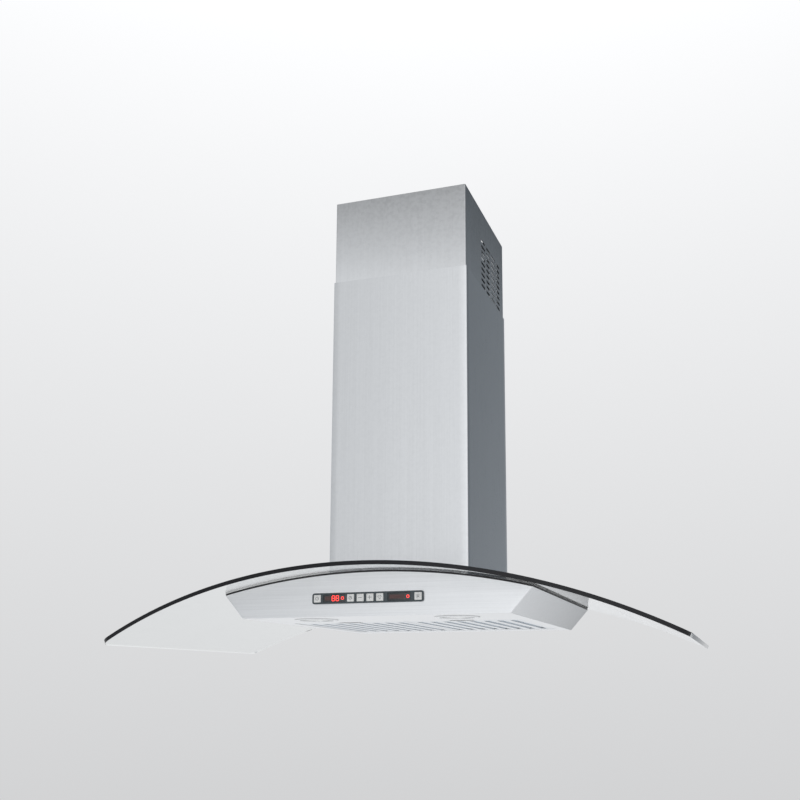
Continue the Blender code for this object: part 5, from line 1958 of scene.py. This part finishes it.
@dataclass
class Blower:
    """The casing, the wheel in its scroll, the motor, the duct collar and the flaps."""

    blades: int = 40
    wheel: float = 66.0 * MM
    bore: float = 56.0 * MM
    half_width: float = 50.0 * MM
    motor_ribs: int = 24

    def build(self) -> None:
        """Builds and dresses the blower."""
        refine("blower_box", ZINC, "zinc_steel", 0.5 * MM)
        refine("scroll_housing", BLACK_PLASTIC, "black_plastic")
        refine("motor_bracket", ZINC, "zinc_steel", 0.4 * MM)
        refine("motor_shaft", BRIGHT, "bright_steel")
        refine("outlet_collar", ZINC, "zinc_steel", 0.3 * MM)
        refine("damper_pin", BRIGHT, "bright_steel")
        for end in ENDS:
            refine(f"damper_flap_{end}", ZINC, "zinc_steel", 0.1 * MM)
        self.turn_wheel()
        self.motor()
        self.electrics()
        self.fasteners()

    def turn_wheel(self) -> None:
        """The squirrel-cage wheel: end rings, web and hub turned, blades set out round it."""
        low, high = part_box("impeller")
        axis = (0.0, 0.0, (low.z + high.z) / 2)
        web, hub, shaft, end = MM, 12 * MM, 4.3 * MM, self.half_width
        rim = 3.0 * MM
        outer = [(self.wheel, end), (self.wheel, end - rim), (self.wheel - MM, end - rim),
                 (self.wheel - MM, end)]
        rings = [turned("ring", outer, axis, (way, 0, 0), BLACK_PLASTIC) for way in (1, -1)]
        profile = [(self.bore + 4 * MM, web), (self.bore + 4 * MM, -web), (hub, -web),
                   (hub, -4 * MM), (shaft, -4 * MM), (shaft, 8 * MM), (hub * 0.8, 8 * MM),
                   (hub, 6 * MM), (hub, web)]
        wheel = joined(turned("impeller_wheel", profile, axis, (1, 0, 0), BLACK_PLASTIC), *rings)
        settle(wheel, "impeller", "black_plastic", "impeller")
        thick = 0.7 * MM
        section = []
        for side in (1, -1):
            arc = [(7 * MM * math.sin(math.radians(angle)),
                    self.bore + (self.wheel - self.bore) * share + side * thick / 2)
                   for share, angle in ((0.0, 2), (0.25, 10), (0.5, 18), (0.75, 24), (1.0, 28))]
            section += arc if side > 0 else list(reversed(arc))
        outermost = self.wheel - 0.1 * MM
        blade = drawn_out("blade", [(-end + MM, y, min(z, outermost)) for y, z in section],
                          (2 * (end - MM), 0, 0))
        blades = Repeat.make("impeller_blades", blade, BLACK_PLASTIC, columns=self.blades,
                             start=axis, turn_step=(2 * math.pi / self.blades, 0, 0))
        settle(blades, "impeller", "black_plastic")

    def motor(self) -> None:
        """The motor can with its end bells and cooling ribs."""
        low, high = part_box("motor")
        axis_z = (low.z + high.z) / 2
        radius, length = (high.z - low.z) / 2, high.x - low.x
        band = radius - 1.6 * MM
        profile = [(0, length * 0.4), (4.3 * MM, length * 0.4), (4.3 * MM, length),
                   (radius - 5 * MM, length), (band, length - 4 * MM),
                   (band, length * 0.7), (radius, length * 0.68), (radius, length * 0.32),
                   (band, length * 0.3), (band, 4 * MM), (radius - 5 * MM, 0), (0, 0)]
        settle(turned("motor_can", profile, (low.x, 0, axis_z), (1, 0, 0), MOTOR_IRON), "hood",
               "motor_iron", "motor")
        rib = blocks("rib", [((0, -0.8 * MM, band - 0.4 * MM),
                              (length * 0.26, 0.8 * MM, radius - 0.3 * MM))], 0.3 * MM,
                     segments=1)
        ribs = Repeat.make("motor_ribs", rib, MOTOR_IRON, columns=self.motor_ribs,
                           start=(low.x + 3.5 * MM, 0, axis_z),
                           turn_step=(2 * math.pi / self.motor_ribs, 0, 0))
        settle(ribs, "hood", "motor_iron")

    @staticmethod
    def electrics() -> None:
        """The terminal box, cable gland, capacitor and lamp supply."""
        refine("terminal_box", BLACK_PLASTIC, "black_plastic", 0.8 * MM)
        refine("lamp_transformer", WHITE_PLASTIC, "white_plastic", 0.8 * MM)
        foot, radius, tall = upright("cable_gland")
        bore = 4.5 * MM
        profile = [(bore, tall), (bore + 1.2 * MM, tall), (radius * 0.66, tall * 0.9),
                   (radius * 0.82, tall * 0.62), (radius * 0.82, tall * 0.34),
                   (radius * 0.98, tall * 0.3), (radius, tall * 0.27), (radius, 0.4 * MM),
                   (radius * 0.96, 0), (bore, 0)]
        settle(turned("cable_gland_dome", profile, foot, UP, WHITE_PLASTIC, steps=48), "hood",
               "white_plastic", "cable_gland")
        foot, radius, tall = upright("capacitor")
        profile = [(0, tall - MM), (radius * 0.8, tall - MM), (radius * 0.86, tall),
                   (radius * 0.94, tall), (radius, tall - 0.8 * MM), (radius, 0.8 * MM),
                   (radius * 0.92, 0), (0, 0)]
        settle(turned("capacitor_can", profile, foot, UP, WHITE_PLASTIC, steps=48), "hood",
               "white_plastic", "capacitor")

    @staticmethod
    def fasteners() -> None:
        """Screws in the base flange, the collar and the terminal box's lid."""
        low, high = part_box("blower_base")
        corner = high - Vector((8 * MM, 6 * MM, 0))
        screws("base_screws", "hood", DOWN, (-corner.x, -corner.y, low.z), BRIGHT, "zinc_steel",
               columns=2, column_step=(2 * corner.x, 0, 0), rows=2,
               row_step=(0, 2 * corner.y, 0))
        low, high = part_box("outlet_collar")
        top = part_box("blower_box")[1].z + 1.8 * MM
        reach = abs(low.x) - 6 * MM
        screws("collar_screws", "hood", UP, (-reach, low.y + 6 * MM, top), BRIGHT, "zinc_steel",
               columns=2, column_step=(2 * reach, 0, 0), rows=2,
               row_step=(0, high.y - low.y - 12 * MM, 0), radius=2.8 * MM)
        low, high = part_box("terminal_box")
        screws("terminal_screws", "hood", UP, (low.x + 6 * MM, (low.y + high.y) / 2, high.z),
               BRIGHT, "zinc_steel", columns=2, column_step=(high.x - low.x - 12 * MM, 0, 0),
               radius=2.2 * MM)


# ---- studio ------------------------------------------------------
@dataclass(frozen=True)
class SoftPanel:
    """A soft box or a flag in the room round the hood, placed by its direction."""

    azimuth: float            # degrees to the right of straight back
    elevation: float
    width: float
    height: float
    soft: float               # how many degrees its edge fades over
    level: float              # light that it adds, or takes away below zero


@dataclass
class Studio:
    """The floor and wall, the light and the camera."""

    floor: float = -2.45
    wall_radius: float = 6.0
    wall_top: float = 5.2
    sweep: float = 1.2        # radius between floor and wall
    tone_at_zero: float = 222.8 / 255
    tone_rise: float = 7.07 / 255
    room: float = 0.80
    panels: tuple[SoftPanel, ...] = (
        SoftPanel(178.0, 4.0, 40.0, 60.0, 34.0, 0.44),      # front, above the lens
        SoftPanel(-132.0, 10.0, 60.0, 90.0, 40.0, -0.24),   # dimmer front left
        SoftPanel(38.0, 24.0, 62.0, 58.0, 30.0, -0.675),    # dark flag behind right
        SoftPanel(-30.0, -8.0, 60.0, 40.0, 30.0, 0.06),     # light behind left
        SoftPanel(14.0, -12.0, 40.0, 24.0, 16.0, -0.14),    # dimmer low behind right
    )
    camera_place: Point = (0.52549, -1.55705, -0.80845)
    camera_turn: float = 0.31651
    camera_rise: float = 0.16553
    lens: float = 44.016
    shift: Pair = (-0.03945, 0.150)

    def build(self) -> None:
        """Builds the studio."""
        self.backdrop()
        self.light()
        self.camera()
        bpy.context.scene.view_settings.view_transform = "Standard"

    def backdrop(self) -> None:
        """A pale floor that sweeps up into a round wall."""
        profile = [(0.0, self.floor), (self.wall_radius - self.sweep, self.floor)]
        for step in range(1, 13):
            turn = math.pi / 2 * step / 12
            profile.append((self.wall_radius - self.sweep + self.sweep * math.sin(turn),
                            self.floor + self.sweep * (1 - math.cos(turn))))
        profile.append((self.wall_radius, self.wall_top))
        made = turned("studio_floor_and_wall", profile, (0, 0, 0), UP, steps=96)
        made.data.materials.append(self.paper())
        made.visible_diffuse = False
        made.visible_glossy = False
        made.visible_shadow = False

    def paper(self) -> bpy.types.Material:
        """Pale paper, evenly lit and brighter towards the top."""
        material, graph, shader = new_material("studio_paper")
        height = graph.parts(place_of(graph))[2]
        tone = graph.maths("ADD", graph.maths("MULTIPLY", height, self.tone_rise),
                           self.tone_at_zero)
        toe, power = 0.055, 2.4       # the curve from a screen's tone to light
        tone = graph.maths("ADD", graph.maths("MULTIPLY", tone, 1 / (1 + toe)), toe / (1 + toe))
        colour = graph.scaled((0.992, 0.998, 1.010), graph.maths("POWER", tone, power))
        shader.inputs["Base Color"].default_value = (0, 0, 0, 1)
        shader.inputs["Specular IOR Level"].default_value = 0.0
        graph.feed(shader.inputs["Emission Color"], colour)
        shader.inputs["Emission Strength"].default_value = 1.0
        return material

    def light(self) -> None:
        """An even soft room with the panels in it."""
        world = bpy.data.worlds.new("studio_room")
        bpy.context.scene.world = world
        world.use_nodes = True
        graph = Graph(world.node_tree)
        shade = world.node_tree.nodes["Background"]
        way = graph.node("ShaderNodeTexCoord").outputs["Generated"]
        level: object = self.room
        for panel in self.panels:
            level = graph.maths("ADD", level, self.panel_light(graph, way, panel))
        level = graph.maths("MAXIMUM", level, 0.02)
        tint = graph.blend(graph.remap(level, 0.15, 0.65, 0.0, 1.0), (0.86, 0.99, 1.12),
                           (0.975, 0.99, 1.01))
        colour = graph.scaled(tint, level)
        seen = graph.node("ShaderNodeLightPath").outputs["Is Camera Ray"]
        graph.feed(shade.inputs["Color"], graph.blend(seen, colour, (1.0, 1.0, 1.0)))

    @staticmethod
    def panel_light(graph: Graph, way: Socket, panel: SoftPanel) -> Socket:
        """How much one panel adds in each direction.

        Args:
            graph: the world's graph.
            way: the direction that is looked in.
            panel: the panel.

        Returns:
            The light it adds.
        """
        turn, rise = math.radians(panel.azimuth), math.radians(panel.elevation)
        ahead = Vector((math.sin(turn) * math.cos(rise), math.cos(turn) * math.cos(rise),
                        math.sin(rise)))
        right = Vector((math.cos(turn), -math.sin(turn), 0.0))
        upward = right.cross(ahead)

        def along(axis: Vector) -> Socket:
            """The direction's share along one axis."""
            return graph.dot(way, tuple(axis))

        across = graph.maths("ABSOLUTE", graph.maths("ARCTAN2", along(right), along(ahead)))
        above = graph.maths("ABSOLUTE", graph.maths("ARCSINE", along(upward)))
        soft = math.radians(panel.soft) / 2
        inside = []
        for angle, size in ((across, panel.width), (above, panel.height)):
            half = math.radians(size) / 2
            inside.append(graph.remap(angle, half - soft, half + soft, 1.0, 0.0, smooth=True))
        return graph.maths("MULTIPLY", graph.maths("MULTIPLY", *inside), panel.level)

    def camera(self) -> None:
        """The camera, in front, to the right and below the hood."""
        data = bpy.data.cameras.new("studio_camera")
        data.lens = self.lens
        data.shift_x, data.shift_y = self.shift
        made = bpy.data.objects.new("studio_camera", data)
        bpy.context.scene.collection.objects.link(made)
        made.location = self.camera_place
        made.rotation_euler = (math.pi / 2 + self.camera_rise, 0, self.camera_turn)
        bpy.context.scene.camera = made


def main() -> None:
    """Builds the studio and every sub-assembly."""
    logging.basicConfig(level=logging.INFO, format="%(message)s")
    Studio().build()
    assemblies = [CeilingFrame(), Chimney(), Canopy(), Body(), Lamps(), GreaseFilter("left"),
                  GreaseFilter("right"), Controls(), Blower()]
    for assembly in assemblies:
        LOG.info("building %s", type(assembly).__name__)
        assembly.build()


if __name__ == "__main__":
    main()
